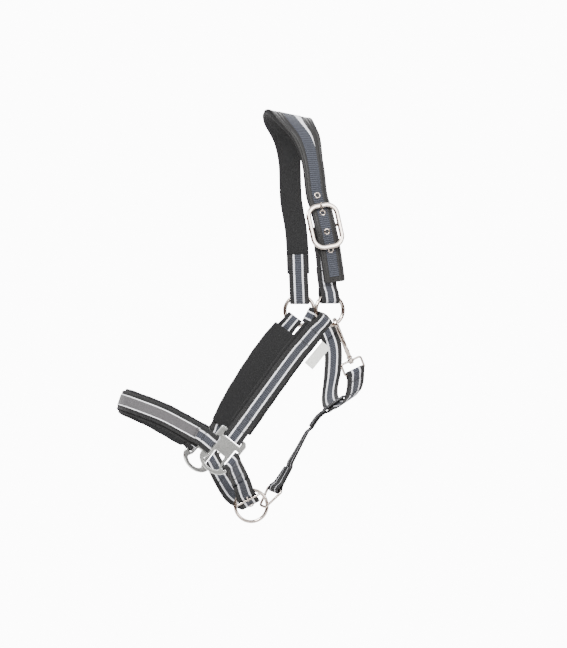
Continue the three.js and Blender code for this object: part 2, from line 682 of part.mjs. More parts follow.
// ---------- snap hook ----------
const SWIVEL_AT = vec(67, -88, -318.9);
const SNAP_REACH = vec(...onRing(SNAP_ANGLE)).distanceTo(SWIVEL_AT);
const SNAP_ARC = SNAP_REACH - 1.8;        // from the swivel to the middle of the hook's arc
const SNAP_AXIS = vec(...onRing(SNAP_ANGLE)).sub(SWIVEL_AT).normalize();
const snapFrame = frameAt(SWIVEL_AT, SNAP_AXIS, OUTWARD);

function snapOutline() {
  const { middle, half } = SNAP;
  const arc = SNAP_ARC;
  const outer = middle + half;
  const inner = middle - half;
  const shape = new THREE.Shape();
  shape.moveTo(0.4, -3.6);
  shape.lineTo(3, -3.6);
  shape.quadraticCurveTo(5, -outer, 12, -outer);
  shape.lineTo(arc, -outer);
  shape.absarc(arc, 0, outer, -Math.PI / 2, rad(96));
  shape.absarc(arc, 0, inner, rad(96), -Math.PI / 2, true);
  shape.lineTo(20, -inner);
  shape.quadraticCurveTo(17, -inner, 17, 0);
  shape.lineTo(16.5, 8.6);
  shape.lineTo(9, 8.6);
  shape.quadraticCurveTo(5, 7, 3, 3.6);
  shape.lineTo(0.4, 3.6);
  shape.closePath();
  return shape;
}

function snapHook() {
  const { thick, pinRadius, pivot } = SNAP;
  const along = vec(1, 0, 0);
  const body = plate(snapOutline(), thick, 0.9, 7);
  const neck = cylinder(1.8, 6.2, vec(-5.2, 0, 0), along, 14);
  const head = cylinder(3.1, 1.8, vec(-6.9, 0, 0), along, 14);
  const pocket = new THREE.BoxGeometry(13, 12, 4.2).translate(14.2, 7.6, 0);
  const pinHole = cylinder(pinRadius + 0.15, thick + 2, vec(...pivot, -thick / 2 - 1), UP, 12);
  add('snap_body', cut(join(body, neck, head), pocket, pinHole), 'bright', snapFrame);
  const foot = vec(...pivot, -thick / 2 + 0.2);
  add('snap_pin', cylinder(pinRadius, thick - 0.4, foot, UP, 12), 'bright', snapFrame);

  const gate = new THREE.Shape();
  gate.moveTo(12, 3.4);
  gate.lineTo(SNAP_ARC - 1.6, 5);
  gate.lineTo(SNAP_ARC - 1.6, 8.4);
  gate.lineTo(12, 8.4);
  gate.absarc(12, 5.9, 2.5, Math.PI / 2, 1.5 * Math.PI);
  const leaf = plate(gate, 3.4, 0.4, 6);
  const bore = cylinder(pinRadius + 0.15, 6, vec(...pivot, -3), UP, 12);
  const coilSeat = new THREE.BoxGeometry(10, 8, 2).translate(10.4, 6, 1.75);
  add('snap_gate', cut(leaf, bore, coilSeat), 'bright', snapFrame);

  const coil = [[1.2, 0], [2.1, 0], [2.1, 0.8], [1.2, 0.8], [1.2, 0]]
    .map(([x, y]) => new THREE.Vector2(x, y));
  const spring = new THREE.LatheGeometry(coil, 14).rotateX(Math.PI / 2).translate(...pivot, 1.05);
  add('snap_spring', spring, 'bright', snapFrame);
}

const EYE_ACROSS = vec(0.9, 0.19, 0.39);
const eyeSide = EYE_ACROSS.clone().addScaledVector(SNAP_AXIS, -EYE_ACROSS.dot(SNAP_AXIS)).normalize();
const eyeFrame = frameAt(SWIVEL_AT.clone().addScaledVector(SNAP_AXIS, -2.6), eyeSide, SNAP_AXIS);
const EYE_DROP = EYE.height - EYE.wire;

function snapEye() {
  const { width, height, wire } = EYE;
  const outline = roundedRectangle(new THREE.Shape(), width, height, 4);
  outline.holes.push(roundedRectangle(new THREE.Path(), width - 2 * wire, height - 2 * wire, 1.6));
  const loop = plate(outline, wire, 0.7, 4).translate(0, -EYE_DROP / 2, 0);
  const collar = cylinder(4.2, 4.2, vec(0, -2.1, 0), vec(0, 1, 0), 14);
  const bore = cylinder(2.2, 8, vec(0, -4, 0), vec(0, 1, 0), 14);
  add('snap_eye', cut(join(loop, collar), bore), 'bright', eyeFrame);
}

// ---------- throat strap, jaw strap and its link ----------
const THROAT_LOW = [67, 0, -380];
const THROAT_ACROSS = [0.83, 0, 0.56];
const EYE_LOOP = { open: 1, reach: 0, radius: 3.4 };

function throatStrap() {
  const foot = vec(0, -EYE_DROP, 0).applyMatrix4(eyeFrame).toArray();
  const tangent = [-Math.sin(rad(THROAT_ANGLE)), Math.cos(rad(THROAT_ANGLE))];
  const atRing = RING_SIDE.clone().multiplyScalar(tangent[0]).addScaledVector(UP, tangent[1]).toArray();
  const line = facing([
    [foot, eyeSide.toArray()],
    [[75.4, -84.5, -342.5], eyeSide.toArray()],
    [[76, -77, -356], [0.87, 0.12, 0.46]],
    [[74, -61, -370], [0.84, 0.06, 0.53]],
    [[70, -32, -378.5], THROAT_ACROSS],
    [THROAT_LOW, THROAT_ACROSS],
    [[68, 32, -378.5], THROAT_ACROSS],
    [[73, 63, -366], [0.85, -0.06, 0.52]],
    [[81, 80, -335], [0.90, -0.18, 0.36]],
    [[81.5, 85.5, -302], [0.85, -0.2, 0.48]],
    [mirrored(onRing(THROAT_ANGLE, RING.radius + 14)), mirrored(atRing)],
    [mirrored(onRing(THROAT_ANGLE)), mirrored(atRing)],
  ], vec(0, 0, -1));
  const route = loopedRoute(line.length, EYE_LOOP, NARROW_LOOP, 0);
  const width = (s) => (s > line.length - 10 ? NARROW_LOOP.width : WEB_WIDTH);
  add('throat_strap', ribbon(line, route, width, WEB_THICK), 'web');
}

const LINK_AT = vec(-36, -17.9, -515);
const LINK_ACROSS = vec(0.443, -0.869, -0.222);
const linkFrame = frameAt(LINK_AT, LINK_ACROSS, vec(0.61, 0.11, 0.785));

function trapezoid(path, grow, corner) {
  const { narrow, wide, height } = LINK;
  const slope = Math.atan((wide - narrow) / height);
  const halfAt = (y) => narrow + ((wide - narrow) * y) / height + grow / Math.cos(slope);
  const low = -grow;
  const high = height + grow;
  const corners = [[-halfAt(low), low], [halfAt(low), low], [halfAt(high), high], [-halfAt(high), high]];
  corners.forEach(([x, y], i) => {
    const [px, py] = corners[(i + 3) % 4];
    const [nx, ny] = corners[(i + 1) % 4];
    const before = corner / Math.hypot(px - x, py - y);
    const after = corner / Math.hypot(nx - x, ny - y);
    const start = [x + (px - x) * before, y + (py - y) * before];
    if (i === 0) path.moveTo(...start);
    else path.lineTo(...start);
    path.quadraticCurveTo(x, y, x + (nx - x) * after, y + (ny - y) * after);
  });
  path.closePath();
  return path;
}

function jawLink() {
  const outline = trapezoid(new THREE.Shape(), LINK.wire / 2, 4.4);
  outline.holes.push(trapezoid(new THREE.Path(), -LINK.wire / 2, 1.2));
  add('jaw_link', plate(outline, LINK.wire, 0.8, 4), 'bright', linkFrame);
}

function jawStrap() {
  const low = vec(...THROAT_LOW);
  const along = vec(...THROAT_ACROSS).normalize();
  const before = (distance) => low.clone().addScaledVector(along, -distance).toArray();
  const bar = vec(0, LINK.height, 0).applyMatrix4(linkFrame).toArray();
  const line = facing([
    [bar, LINK_ACROSS.toArray()],
    [[-6, -8, -475], [0.28, -0.95, -0.16]],
    [[14, -3, -443], [0.08, -1, -0.04]],
    [[31, 0, -414], [0, -1, 0]],
    [before(27), [0, -1, 0]],
    [before(13), [0, -1, 0]],
    [THROAT_LOW, [0, -1, 0]],
  ], vec(0.8, 0, -0.6));
  const start = { open: 1.5, reach: 0, radius: 4.2 };
  const end = { open: 15, reach: 15, radius: WEB_THICK + GAP + 0.4 };
  add('jaw_strap', ribbon(line, loopedRoute(line.length, start, end), JAW_WIDTH, WEB_THICK), 'web');
}

// ---------- the headcollar ----------
crownBuckle();
crown();
crownEndLoop();
upperRing('upper_ring_left', -1);
upperRing('upper_ring_right', 1);
hanger();
const leftCheek = cheekpiece('left', -1);
cheekpiece('right', 1);
labelTab(leftCheek);
sideCasting('left', -1);
sideCasting('right', 1);
noseband();
chinRing();
chinTongue();
chinStraps();
snapHook();
snapEye();
throatStrap();
jawStrap();
jawLink();

export default group;
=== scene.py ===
"""A horse's headcollar of striped webbing with soft padding and metal fittings.

The CAD frame gives the solids and the bodies. This script builds the visible pieces round it:
woven straps, stitched pads and smooth metal, each in the place of its CAD node.
Lengths in the geometry code are millimetres; meshes are written in metres.
"""

import math

import bmesh
import bpy
import numpy as np
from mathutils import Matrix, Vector


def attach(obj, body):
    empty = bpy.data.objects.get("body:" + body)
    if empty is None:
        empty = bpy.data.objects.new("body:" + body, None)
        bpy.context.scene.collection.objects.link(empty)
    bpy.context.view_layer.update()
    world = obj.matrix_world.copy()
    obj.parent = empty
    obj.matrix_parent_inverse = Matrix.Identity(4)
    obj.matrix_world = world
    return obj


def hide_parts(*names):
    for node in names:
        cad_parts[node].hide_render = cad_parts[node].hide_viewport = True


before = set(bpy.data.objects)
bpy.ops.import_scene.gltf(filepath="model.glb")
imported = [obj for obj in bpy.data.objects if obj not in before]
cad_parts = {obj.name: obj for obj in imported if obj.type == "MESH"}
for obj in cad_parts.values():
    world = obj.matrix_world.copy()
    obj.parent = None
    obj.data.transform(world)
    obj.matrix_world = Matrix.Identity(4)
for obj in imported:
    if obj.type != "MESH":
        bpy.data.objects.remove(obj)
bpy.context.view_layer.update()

# ---------- driving dimensions ----------
GAP = 0.4
WEB_WIDTH = 26
WEB_THICK = 1.8
LAYER = WEB_THICK / 2 + GAP / 2
PAD_WIDTH = 33
PAD_THICK = 4
PAD_MIDDLE = -2 * LAYER - 0.5 - PAD_THICK / 2
TAPE_WIDTH = 16
TAPE_THICK = 0.8
TAPE_FROM = 21                  # where the tape starts on the noseband
TAPE_STEP = (37, 45)            # where it steps down from the folded end
FOLD = 26                       # how far a sewn webbing end runs back from its loop
CROWN_WIDTH = (60, 30)          # at the poll and at the side
CROWN_LINING = (5, 1.7)
COVER_THICK = 1.5
WINDOW_WIDTH = (25, 14.5)
WINDOW_END = 7
EYELET_OUTER = 4.3
EYELET_HOLE = 2.4
EYELET_SPACING = 25
TONGUE_HOLE_AT = 18
CHIN_EYELET = {"outer": 3.5, "hole": 1.8, "spacing": 25}
BUCKLE = {"width": 46, "height": 62, "bar": 6.2, "thick": 4, "corner": 17, "lift": 8.4, "pin": 2}
RING_RADIUS = 19.75
RING_WIRE = 2.5
CHIN_RADIUS = 21.2
CHIN_WIRE = 2.25
CHIN_BAR_OFFSET = 8.8
CASTING_THICK = 4.5
CASTING_TURN = 51
EYE = {"width": 33.4, "height": 19, "wire": 3}
LINK = {"height": 28.7, "wire": 3.4, "narrow": 5.8, "wide": 14.4}
JAW_WIDTH = 20
STITCH = {"length": 2.7, "pitch": 3.5, "radius": 0.36}
STITCH_RISE = 0.08              # how far the middle of a stitch lies above its cloth
LABEL_SIZE = {"width": 37, "height": 14, "thick": 0.56, "back": 37.5, "proud": 2.6}

# ---------- vectors and frames ----------


def vec(*values):
    return np.array(values, float)


def unit(v):
    return np.asarray(v, float) / np.linalg.norm(v)


def frame_at(origin, x, y):
    """A 4x4 frame: x is kept, y is squared up to it."""
    ex = unit(x)
    ez = unit(np.cross(ex, y))
    matrix = np.eye(4)
    matrix[:3, 0] = ex
    matrix[:3, 1] = np.cross(ez, ex)
    matrix[:3, 2] = ez
    matrix[:3, 3] = origin
    return matrix


def place(matrix, points):
    points = np.atleast_2d(np.asarray(points, float))
    return points @ matrix[:3, :3].T + matrix[:3, 3]


def mirrored(v):
    return np.asarray(v, float) * (1, -1, 1)


SIDEWAYS = vec(0.978, -0.208, 0)
UP = vec(0, 0, 1)
OUTWARD = vec(-0.208, -0.978, 0)

CASTING_AT = vec(-95.5, -62, -435.3)
E1 = SIDEWAYS * math.cos(math.radians(CASTING_TURN)) + UP * math.sin(math.radians(CASTING_TURN))
E2 = SIDEWAYS * math.sin(math.radians(CASTING_TURN)) - UP * math.cos(math.radians(CASTING_TURN))

RING_AT = vec(38, -94, -254.8)
RING_SIDE = vec(0.975, 0.222, 0)
HANGER_ANGLE = 93
CHEEK_ANGLE = 233
SNAP_ANGLE = 299
THROAT_ANGLE = 332

BAR_AT = vec(31.4, -87, -145.2)
BAR_ACROSS = vec(0.980, 0.100, 0.174)


def on_casting(x, y):
    return CASTING_AT + E2 * x + E1 * y


def on_ring(degrees, radius=RING_RADIUS):
    angle = math.radians(degrees)
    return RING_AT + RING_SIDE * radius * math.cos(angle) + UP * radius * math.sin(angle)


def ring_tangent(degrees):
    angle = math.radians(degrees)
    return -RING_SIDE * math.sin(angle) + UP * math.cos(angle)


# ---------- strap lines ----------


class StrapLine:
    """A smooth route through stops of (point, direction of the width)."""

    def __init__(self, stops):
        self.points = np.array([at for at, _ in stops], float)
        self.across = np.array([unit(across) for _, across in stops])
        first = 2 * self.points[0] - self.points[1]
        last = 2 * self.points[-1] - self.points[-2]
        self.padded = np.vstack([first, self.points, last])
        self.times = np.linspace(0, 1, 601)
        samples = np.array([self.point(t) for t in self.times])
        steps = np.linalg.norm(np.diff(samples, axis=0), axis=1)
        self.reached = np.concatenate([[0], np.cumsum(steps)])
        self.length = self.reached[-1]

    def point(self, t):
        spot = min(max(t, 0), 1) * (len(self.points) - 1)
        index = min(int(spot), len(self.points) - 2)
        w = spot - index
        p0, p1, p2, p3 = self.padded[index:index + 4]
        d0, d1, d2 = [np.linalg.norm(b - a) ** 0.5 for a, b in ((p0, p1), (p1, p2), (p2, p3))]
        t1 = ((p1 - p0) / d0 - (p2 - p0) / (d0 + d1) + (p2 - p1) / d1) * d1
        t2 = ((p2 - p1) / d1 - (p3 - p1) / (d1 + d2) + (p3 - p2) / d2) * d1
        c2 = 3 * (p2 - p1) - 2 * t1 - t2
        c3 = 2 * (p1 - p2) + t1 + t2
        return p1 + w * (t1 + w * (c2 + w * c3))

    def at(self, s):
        """origin, tangent, across and normal at distance s along the line."""
        inside = min(max(s, 0), self.length)
        t = np.interp(inside, self.reached, self.times)
        tangent = unit(self.point(min(t + 1e-4, 1)) - self.point(max(t - 1e-4, 0)))
        origin = self.point(t) + tangent * (s - inside)
        spot = t * (len(self.points) - 1)
        index = min(int(spot), len(self.points) - 2)
        across = unit(self.across[index] + (self.across[index + 1] - self.across[index]) * (spot - index))
        return origin, tangent, across, unit(np.cross(tangent, across))

    def spot(self, s, h, x=0.0):
        origin, _, across, normal = self.at(s)
        return origin + normal * h + across * x

    def nearest(self, point):
        distances = [np.linalg.norm(self.spot(s, 0) - point) for s in np.arange(0, self.length, 0.5)]
        return 0.5 * int(np.argmin(distances))


def mirror_stop(stop):
    return mirrored(stop[0]), mirrored(stop[1])


def facing(stops, outward):
    """A StrapLine whose normal points to the outward side at its middle."""
    line = StrapLine(stops)
    if line.at(line.length / 2)[3] @ outward > 0:
        return line
    return StrapLine([(at, -np.asarray(across, float)) for at, across in stops])


def run(start, end, step=4.0):
    count = max(1, round(abs(end[0] - start[0]) / step))
    return [tuple(np.array(start) + (np.array(end) - np.array(start)) * i / count) for i in range(count + 1)]


def bend(s, h, radius, begin, end, count=12):
    angles = [math.radians(begin + (end - begin) * i / count) for i in range(count + 1)]
    return [(s + radius * math.cos(a), h + radius * math.sin(a)) for a in angles]


def looped_route(length, start, end, middle=-LAYER):
    """Webbing with both ends folded round something and sewn back under itself."""
    def neck(loop):
        return loop["open"] + 2.2 * (loop["radius"] - LAYER) + 1
    near, far = neck(start), neck(end)
    return [
        *run((near + FOLD, -LAYER), (near, -LAYER)),
        (start["open"], -start["radius"]),
        *bend(-start["reach"], 0, start["radius"], -90, -270),
        (start["open"], start["radius"]),
        *run((near, LAYER), (near + FOLD + 2, LAYER)),
        *run((near + FOLD + 8, middle), (length - far - FOLD - 8, middle)),
        *run((length - far - FOLD - 2, LAYER), (length - far, LAYER)),
        (length - end["open"], end["radius"]),
        *bend(length + end["reach"], 0, end["radius"], 90, -90),
        (length - end["open"], -end["radius"]),
        *run((length - far, -LAYER), (length - far - FOLD, -LAYER)),
    ]


# ---------- mesh making ----------


def make(name, points, faces, body, material, uvs=None, replaces=()):
    """A smooth-shaded piece from points in millimetres, riding on a CAD body."""
    mesh = bpy.data.meshes.new(name)
    mesh.from_pydata([tuple(p) for p in np.asarray(points) / 1000], [], faces)
    if uvs is not None:
        layer = mesh.uv_layers.new(name="UVMap")
        loops = np.empty(len(mesh.loops), np.int32)
        mesh.loops.foreach_get("vertex_index", loops)
        layer.data.foreach_set("uv", np.asarray(uvs, np.float32)[loops].ravel())
    mesh.validate()
    piece = bpy.data.objects.new(name, mesh)
    bpy.context.scene.collection.objects.link(piece)
    mesh.materials.append(material)
    mesh.polygons.foreach_set("use_smooth", [True] * len(mesh.polygons))
    face_out(mesh)
    mesh.set_sharp_from_angle(angle=math.radians(50))
    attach(piece, body)
    if replaces:
        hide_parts(*replaces)
    return piece


def face_out(mesh):
    """Turns the faces round where they enclose a negative volume."""
    mesh.calc_loop_triangles()
    total = 0.0
    for triangle in mesh.loop_triangles:
        a, b, c = [mesh.vertices[i].co for i in triangle.vertices]
        total += a.dot(b.cross(c))
    if total < 0:
        mesh.flip_normals()


def loft(rings, closed=False):
    """Points and faces of a surface through rings of equal count, capped unless closed."""
    count = len(rings[0])
    points = np.concatenate(rings)
    faces = []
    spans = len(rings) if closed else len(rings) - 1
    for i in range(spans):
        here, there = i * count, ((i + 1) % len(rings)) * count
        for j in range(count):
            following = (j + 1) % count
            faces.append((here + j, here + following, there + following, there + j))
    if not closed:
        faces.append(tuple(reversed(range(count))))
        faces.append(tuple(range(len(points) - count, len(points))))
    return points, faces


def flat_section(width, thick, steps=8, swell=0.0):
    """A strap's section as (x, y) points: rounded edges, and faces that swell by the given height."""
    half, edge = width / 2, thick / 2
    xs = np.linspace(-half + edge, half - edge, steps + 1)
    rise = swell * (1 - (xs / half) ** 2)
    below = [(x, -edge - r) for x, r in zip(xs, rise)]
    above = [(x, edge + r) for x, r in zip(xs[::-1], rise[::-1])]
    turns = np.linspace(0, math.pi, 5)[1:-1]
    right = [(half - edge + edge * math.sin(a), -edge * math.cos(a)) for a in turns]
    left = [(-x, -y) for x, y in right]
    return np.array(below + right + above + left)


def ribbon(line, path, section):
    """Rings and UVs of a strap that follows path, [(s, h)]. section is a function of s.
    The UVs hold the place across, from -1 to 1, and the distance along in millimetres."""
    rings, uvs = [], []
    travelled = 0.0
    for i, (s, h) in enumerate(path):
        s0, h0 = path[max(i - 1, 0)]
        s1, h1 = path[min(i + 1, len(path) - 1)]
        span = math.hypot(s1 - s0, h1 - h0)
        origin, tangent, across, normal = line.at(s)
        out = tangent * (-(h1 - h0) / span) + normal * ((s1 - s0) / span)
        outline = section(s)
        half = max(np.abs(outline[:, 0]).max(), 0.01)
        middle = origin + normal * h
        rings.append(middle + outline[:, :1] * across + outline[:, 1:] * out)
        if i:
            travelled += math.hypot(s - s0, h - h0)
        uvs += [(x / half, travelled) for x in outline[:, 0]]
    return rings, uvs


def strap(name, line, path, material, width=WEB_WIDTH, thick=WEB_THICK, body="root", swell=0.0, steps=8,
          replaces=None):
    def section(s):
        w = width(s) if callable(width) else width
        t = thick(s) if callable(thick) else thick
        return flat_section(w, t, steps, swell(s) if callable(swell) else swell)
    rings, uvs = ribbon(line, path, section)
    points, faces = loft(rings)
    return make(name, points, faces, body, material, uvs, replaces or ())


def tube(name, points, radius, body, material, closed=False, sides=20, replaces=()):
    """A round wire along points. radius is a number or a list with one value for each point."""
    points = np.asarray(points, float)
    count = len(points)
    radii = np.full(count, radius, float) if np.isscalar(radius) else np.asarray(radius, float)
    before = np.roll(points, 1, axis=0)
    after = np.roll(points, -1, axis=0)
    if not closed:
        before[0], after[-1] = points[0], points[-1]
    tangents = np.array([unit(b - a) for a, b in zip(before, after)])
    side = unit(np.cross(tangents[0], vec(0.31, 0.52, 0.79)))
    angles = np.linspace(0, 2 * math.pi, sides, endpoint=False)
    rings = []
    for point, tangent, r in zip(points, tangents, radii):
        side = unit(side - tangent * (side @ tangent))
        other = np.cross(tangent, side)
        rings.append(point + r * (np.cos(angles)[:, None] * side + np.sin(angles)[:, None] * other))
    mesh_points, faces = loft(rings, closed)
    return make(name, mesh_points, faces, body, material, replaces=replaces)


def lathe(profile, matrix, segments=40):
    """Points and faces of a closed (radius, height) profile turned about the frame's z axis."""
    rings = []
    for angle in np.linspace(0, 2 * math.pi, segments, endpoint=False):
        ring = [(r * math.cos(angle), r * math.sin(angle), z) for r, z in profile]
        rings.append(place(matrix, ring))
    return loft(rings, closed=True)


def smooth_path(points, count):
    """count places on a smooth curve through points."""
    line = StrapLine([(p, UP) for p in points])
    return np.array([line.at(s)[0] for s in np.linspace(0, line.length, count)])


def arc(cx, cy, rx, ry, begin, end, count=14):
    angles = np.linspace(math.radians(begin), math.radians(end), count)
    return [(cx + rx * math.cos(a), cy + ry * math.sin(a)) for a in angles]


def rounded_rectangle(width, height, corner, count=8):
    w, h = width / 2 - corner, height / 2 - corner
    points = []
    for x, y, start in ((w, -h, -90), (w, h, 0), (-w, h, 90), (-w, -h, 180)):
        points += arc(x, y, corner, corner, start, start + 90, count)
    return points


def plate(name, outlines, thick, bevel, matrix, body, material, replaces=(), highlight_edge_material=None):
    """A flat plate with round edges from 2-D outlines; those inside the first are holes."""
    curve = bpy.data.curves.new(name, "CURVE")
    curve.dimensions = "2D"
    curve.fill_mode = "BOTH"
    curve.extrude = (thick / 2 - bevel) / 1000
    curve.bevel_depth = bevel / 1000
    curve.bevel_resolution = 3
    curve.offset = -bevel / 1000
    for outline in outlines:
        spline = curve.splines.new("POLY")
        spline.points.add(len(outline) - 1)
        spline.use_cyclic_u = True
        for point, (x, y) in zip(spline.points, outline):
            point.co = (x / 1000, y / 1000, 0, 1)
    holder = bpy.data.objects.new(name + "_outline", curve)
    bpy.context.scene.collection.objects.link(holder)
    bpy.context.view_layer.update()
    source = bpy.data.meshes.new_from_object(holder.evaluated_get(bpy.context.evaluated_depsgraph_get()))
    points = place(matrix, np.array([v.co for v in source.vertices]) * 1000)
    faces = [tuple(p.vertices) for p in source.polygons]
    bpy.data.objects.remove(holder)
    piece = make(name, points, faces, body, material, replaces=replaces)
    weld(piece)
    # The edge material is a brighter, more polished copy of the plate's metal: a painted highlight along the
    # bevels.
    if highlight_edge_material:
        piece.data.materials.append(highlight_edge_material)
        normal = matrix[:3, 2]
        for polygon in piece.data.polygons:
            if abs(np.array(polygon.normal) @ normal) < 0.97:
                polygon.material_index = 1
    return piece


def weld(piece):
    """Joins points that lie in one place, so that shading runs smoothly over them."""
    work = bmesh.new()
    work.from_mesh(piece.data)
    bmesh.ops.remove_doubles(work, verts=work.verts, dist=1e-6)
    bmesh.ops.recalc_face_normals(work, faces=work.faces)
    work.to_mesh(piece.data)
    work.free()
    piece.data.set_sharp_from_angle(angle=math.radians(38))


def stitches(name, rows, material, body="root", pitch=STITCH["pitch"], length=STITCH["length"]):
    """Short threads along rows of places; each row is a list of (place, normal)."""
    points, faces = [], []
    for row in rows:
        places = np.array([p for p, _ in row])
        normals = np.array([n for _, n in row])
        gone = np.concatenate([[0], np.cumsum(np.linalg.norm(np.diff(places, axis=0), axis=1))])
        for k in range(int(gone[-1] // pitch)):
            stations = k * pitch + np.array([0.0, 0.18, 0.5, 0.82, 1.0]) * length
            ring_radii = np.array([0.12, 0.8, 1.0, 0.8, 0.12]) * STITCH["radius"]
            lift = np.array([-0.25, 0.02, 0.14, 0.02, -0.25])
            centres = np.array([[np.interp(s, gone, places[:, i]) for i in range(3)] for s in stations])
            normal = unit([np.interp(stations[2], gone, normals[:, i]) for i in range(3)])
            tangent = unit(centres[-1] - centres[0])
            side = unit(np.cross(tangent, normal))
            rings = []
            for centre, r, up in zip(centres, ring_radii, lift):
                circle = [centre + normal * up + r * (math.cos(a) * side + math.sin(a) * normal)
                          for a in np.linspace(0, 2 * math.pi, 6, endpoint=False)]
                rings.append(np.array(circle))
            new_points, new_faces = loft(rings)
            base = len(points)
            points += list(new_points)
            faces += [tuple(base + i for i in face) for face in new_faces]
    return make(name, points, faces, body, material)


def seam(line, s0, s1, x0, x1, h, step=2.0):
    """One row for stitches, straight on a strap line from (s0, x0) to (s1, x1) at height h."""
    count = max(3, int(math.hypot(s1 - s0, x1 - x0) / step))
    row = []
    for i in range(count + 1):
        s = s0 + (s1 - s0) * i / count
        x = x0 + (x1 - x0) * i / count
        height = h(s) if callable(h) else h
        row.append((line.spot(s, height, x), line.at(s)[3]))
    return row


# ---------- materials ----------


class Nodes:
    """A new node material with its shader, and short ways to add nodes to it."""

    def __init__(self, name, color, roughness, metallic=0.0, **settings):
        self.material = bpy.data.materials.new(name)
        self.material.use_nodes = True
        self.tree = self.material.node_tree
        self.shader = self.tree.nodes["Principled BSDF"]
        self.shader.inputs["Base Color"].default_value = (*color, 1)
        self.shader.inputs["Roughness"].default_value = roughness
        self.shader.inputs["Metallic"].default_value = metallic
        for socket, value in settings.items():
            self.shader.inputs[socket.replace("_", " ")].default_value = value

    def add(self, kind, **settings):
        node = self.tree.nodes.new(kind)
        for key, value in settings.items():
            setattr(node, key, value)
        return node

    def link(self, output, target):
        self.tree.links.new(output, target)

    def math(self, operation, a, b=0.0, clamp=False):
        node = self.add("ShaderNodeMath", operation=operation, use_clamp=clamp)
        for socket, value in zip(node.inputs, (a, b)):
            if isinstance(value, (int, float)):
                socket.default_value = value
            else:
                self.link(value, socket)
        return node.outputs[0]

    def mix(self, factor, a, b):
        node = self.add("ShaderNodeMix", data_type="RGBA")
        for socket, value in ((node.inputs[0], factor), (node.inputs[6], a), (node.inputs[7], b)):
            if isinstance(value, tuple):
                socket.default_value = (*value, 1)
            elif isinstance(value, (int, float)):
                socket.default_value = value
            else:
                self.link(value, socket)
        return node.outputs[2]

    def noise(self, scale, detail=3.0, vector=None):
        node = self.add("ShaderNodeTexNoise")
        node.inputs["Scale"].default_value = scale
        node.inputs["Detail"].default_value = detail
        if vector is None:
            vector = self.add("ShaderNodeTexCoord").outputs["Object"]
        self.link(vector, node.inputs["Vector"])
        return node.outputs["Fac"]

    def wave(self, value, pitch):
        """A soft 0 to 1 ridge that repeats every pitch of value."""
        turned = self.math("MULTIPLY", value, 2 * math.pi / pitch)
        swing = self.math("SINE", turned)
        return self.math("ADD", self.math("MULTIPLY", swing, 0.5), 0.5)

    def step(self, value, edge, soft):
        """0 below edge and 1 above it, over a soft width."""
        return self.math("DIVIDE", self.math("SUBTRACT", value, edge - soft / 2), soft, clamp=True)

    def between(self, value, low, high, soft):
        return self.math("MULTIPLY", self.step(value, low, soft),
                         self.math("SUBTRACT", 1.0, self.step(value, high, soft)))

    def uv(self):
        split = self.add("ShaderNodeSeparateXYZ")
        self.link(self.add("ShaderNodeTexCoord").outputs["UV"], split.inputs[0])
        return split.outputs[0], split.outputs[1]

    def color(self, output):
        self.link(output, self.shader.inputs["Base Color"])

    def roughness(self, output):
        self.link(output, self.shader.inputs["Roughness"])

    def bump(self, height, distance, strength=1.0):
        node = self.add("ShaderNodeBump")
        node.inputs["Distance"].default_value = distance / 1000
        node.inputs["Strength"].default_value = strength
        self.link(height, node.inputs["Height"])
        self.link(node.outputs[0], self.shader.inputs["Normal"])


def tone(red, green, blue):
    """An sRGB colour, 0 to 255, as linear light."""
    def linear(c):
        return c / 255 / 12.92 if c <= 10 else ((c / 255 + 0.055) / 1.055) ** 2.4
    return tuple(linear(c) for c in (red, green, blue))


WEB_RIB = 2.5                   # pitch of the ribs across the webbing
BAND_RIB = 2.7
# The darker colour after each yarn colour is painted shade for the valleys between the ribs.
BLACK_YARN = tone(14, 14, 17)
BLACK_RIB_SHADE = tone(0, 0, 0)
GREY_YARN = tone(67, 70, 80)
GREY_RIB_SHADE = tone(19, 21, 28)
WHITE_YARN = tone(252, 252, 255)
WHITE_RIB_SHADE = tone(212, 212, 224)


def webbing_material(name="striped_webbing", grey_yarn=GREY_YARN, grey_rib_shade=GREY_RIB_SHADE,
                     line_from=0.35, line_to=0.525):
    """Ribbed webbing: black edges, a middle of its own colour, and a white line on each side of it."""
    n = Nodes(name, BLACK_YARN, 0.8, Sheen_Weight=0.06, Sheen_Roughness=0.4)
    across, along = n.uv()
    place_across = n.math("ABSOLUTE", across)
    rib = n.wave(along, WEB_RIB)
    fine = n.wave(along, WEB_RIB / 2)
    white = n.between(place_across, line_from, line_to, 0.03)
    middle = n.math("SUBTRACT", 1.0, n.step(place_across, (line_from + line_to) / 2, 0.03))
    fuzz = n.noise(900, 2)
    valley = n.math("SUBTRACT", 1.0, rib)
    uneven = n.math("ADD", n.math("MULTIPLY", fuzz, 0.6), 0.55)
    # Painted shade: the valleys between the ribs, and the fine grooves of the white lines, are darkened in the
    # colour.
    rib_shade = n.math("MULTIPLY", valley, uneven, clamp=True)
    black = n.mix(rib_shade, BLACK_YARN, BLACK_RIB_SHADE)
    grey = n.mix(rib_shade, grey_yarn, grey_rib_shade)
    bright = n.mix(n.math("MULTIPLY", n.math("SUBTRACT", 1.0, fine), 0.5), WHITE_YARN, WHITE_RIB_SHADE)
    color = n.mix(white, n.mix(middle, black, grey), bright)
    dust = n.noise(60, 4)
    worn = n.math("MULTIPLY", n.step(dust, 0.56, 0.25), 0.06)
    n.color(n.mix(worn, color, tone(120, 116, 112)))
    n.roughness(n.math("ADD", n.math("MULTIPLY", dust, 0.2), 0.66))
    warp = n.wave(across, 0.077)
    height = n.math("ADD", n.math("MULTIPLY", rib, n.math("SUBTRACT", 1.0, n.math("MULTIPLY", white, 0.7))),
                    n.math("ADD", n.math("MULTIPLY", warp, 0.25), n.math("MULTIPLY", fine, 0.2)))
    n.bump(height, 0.6)
    return n.material


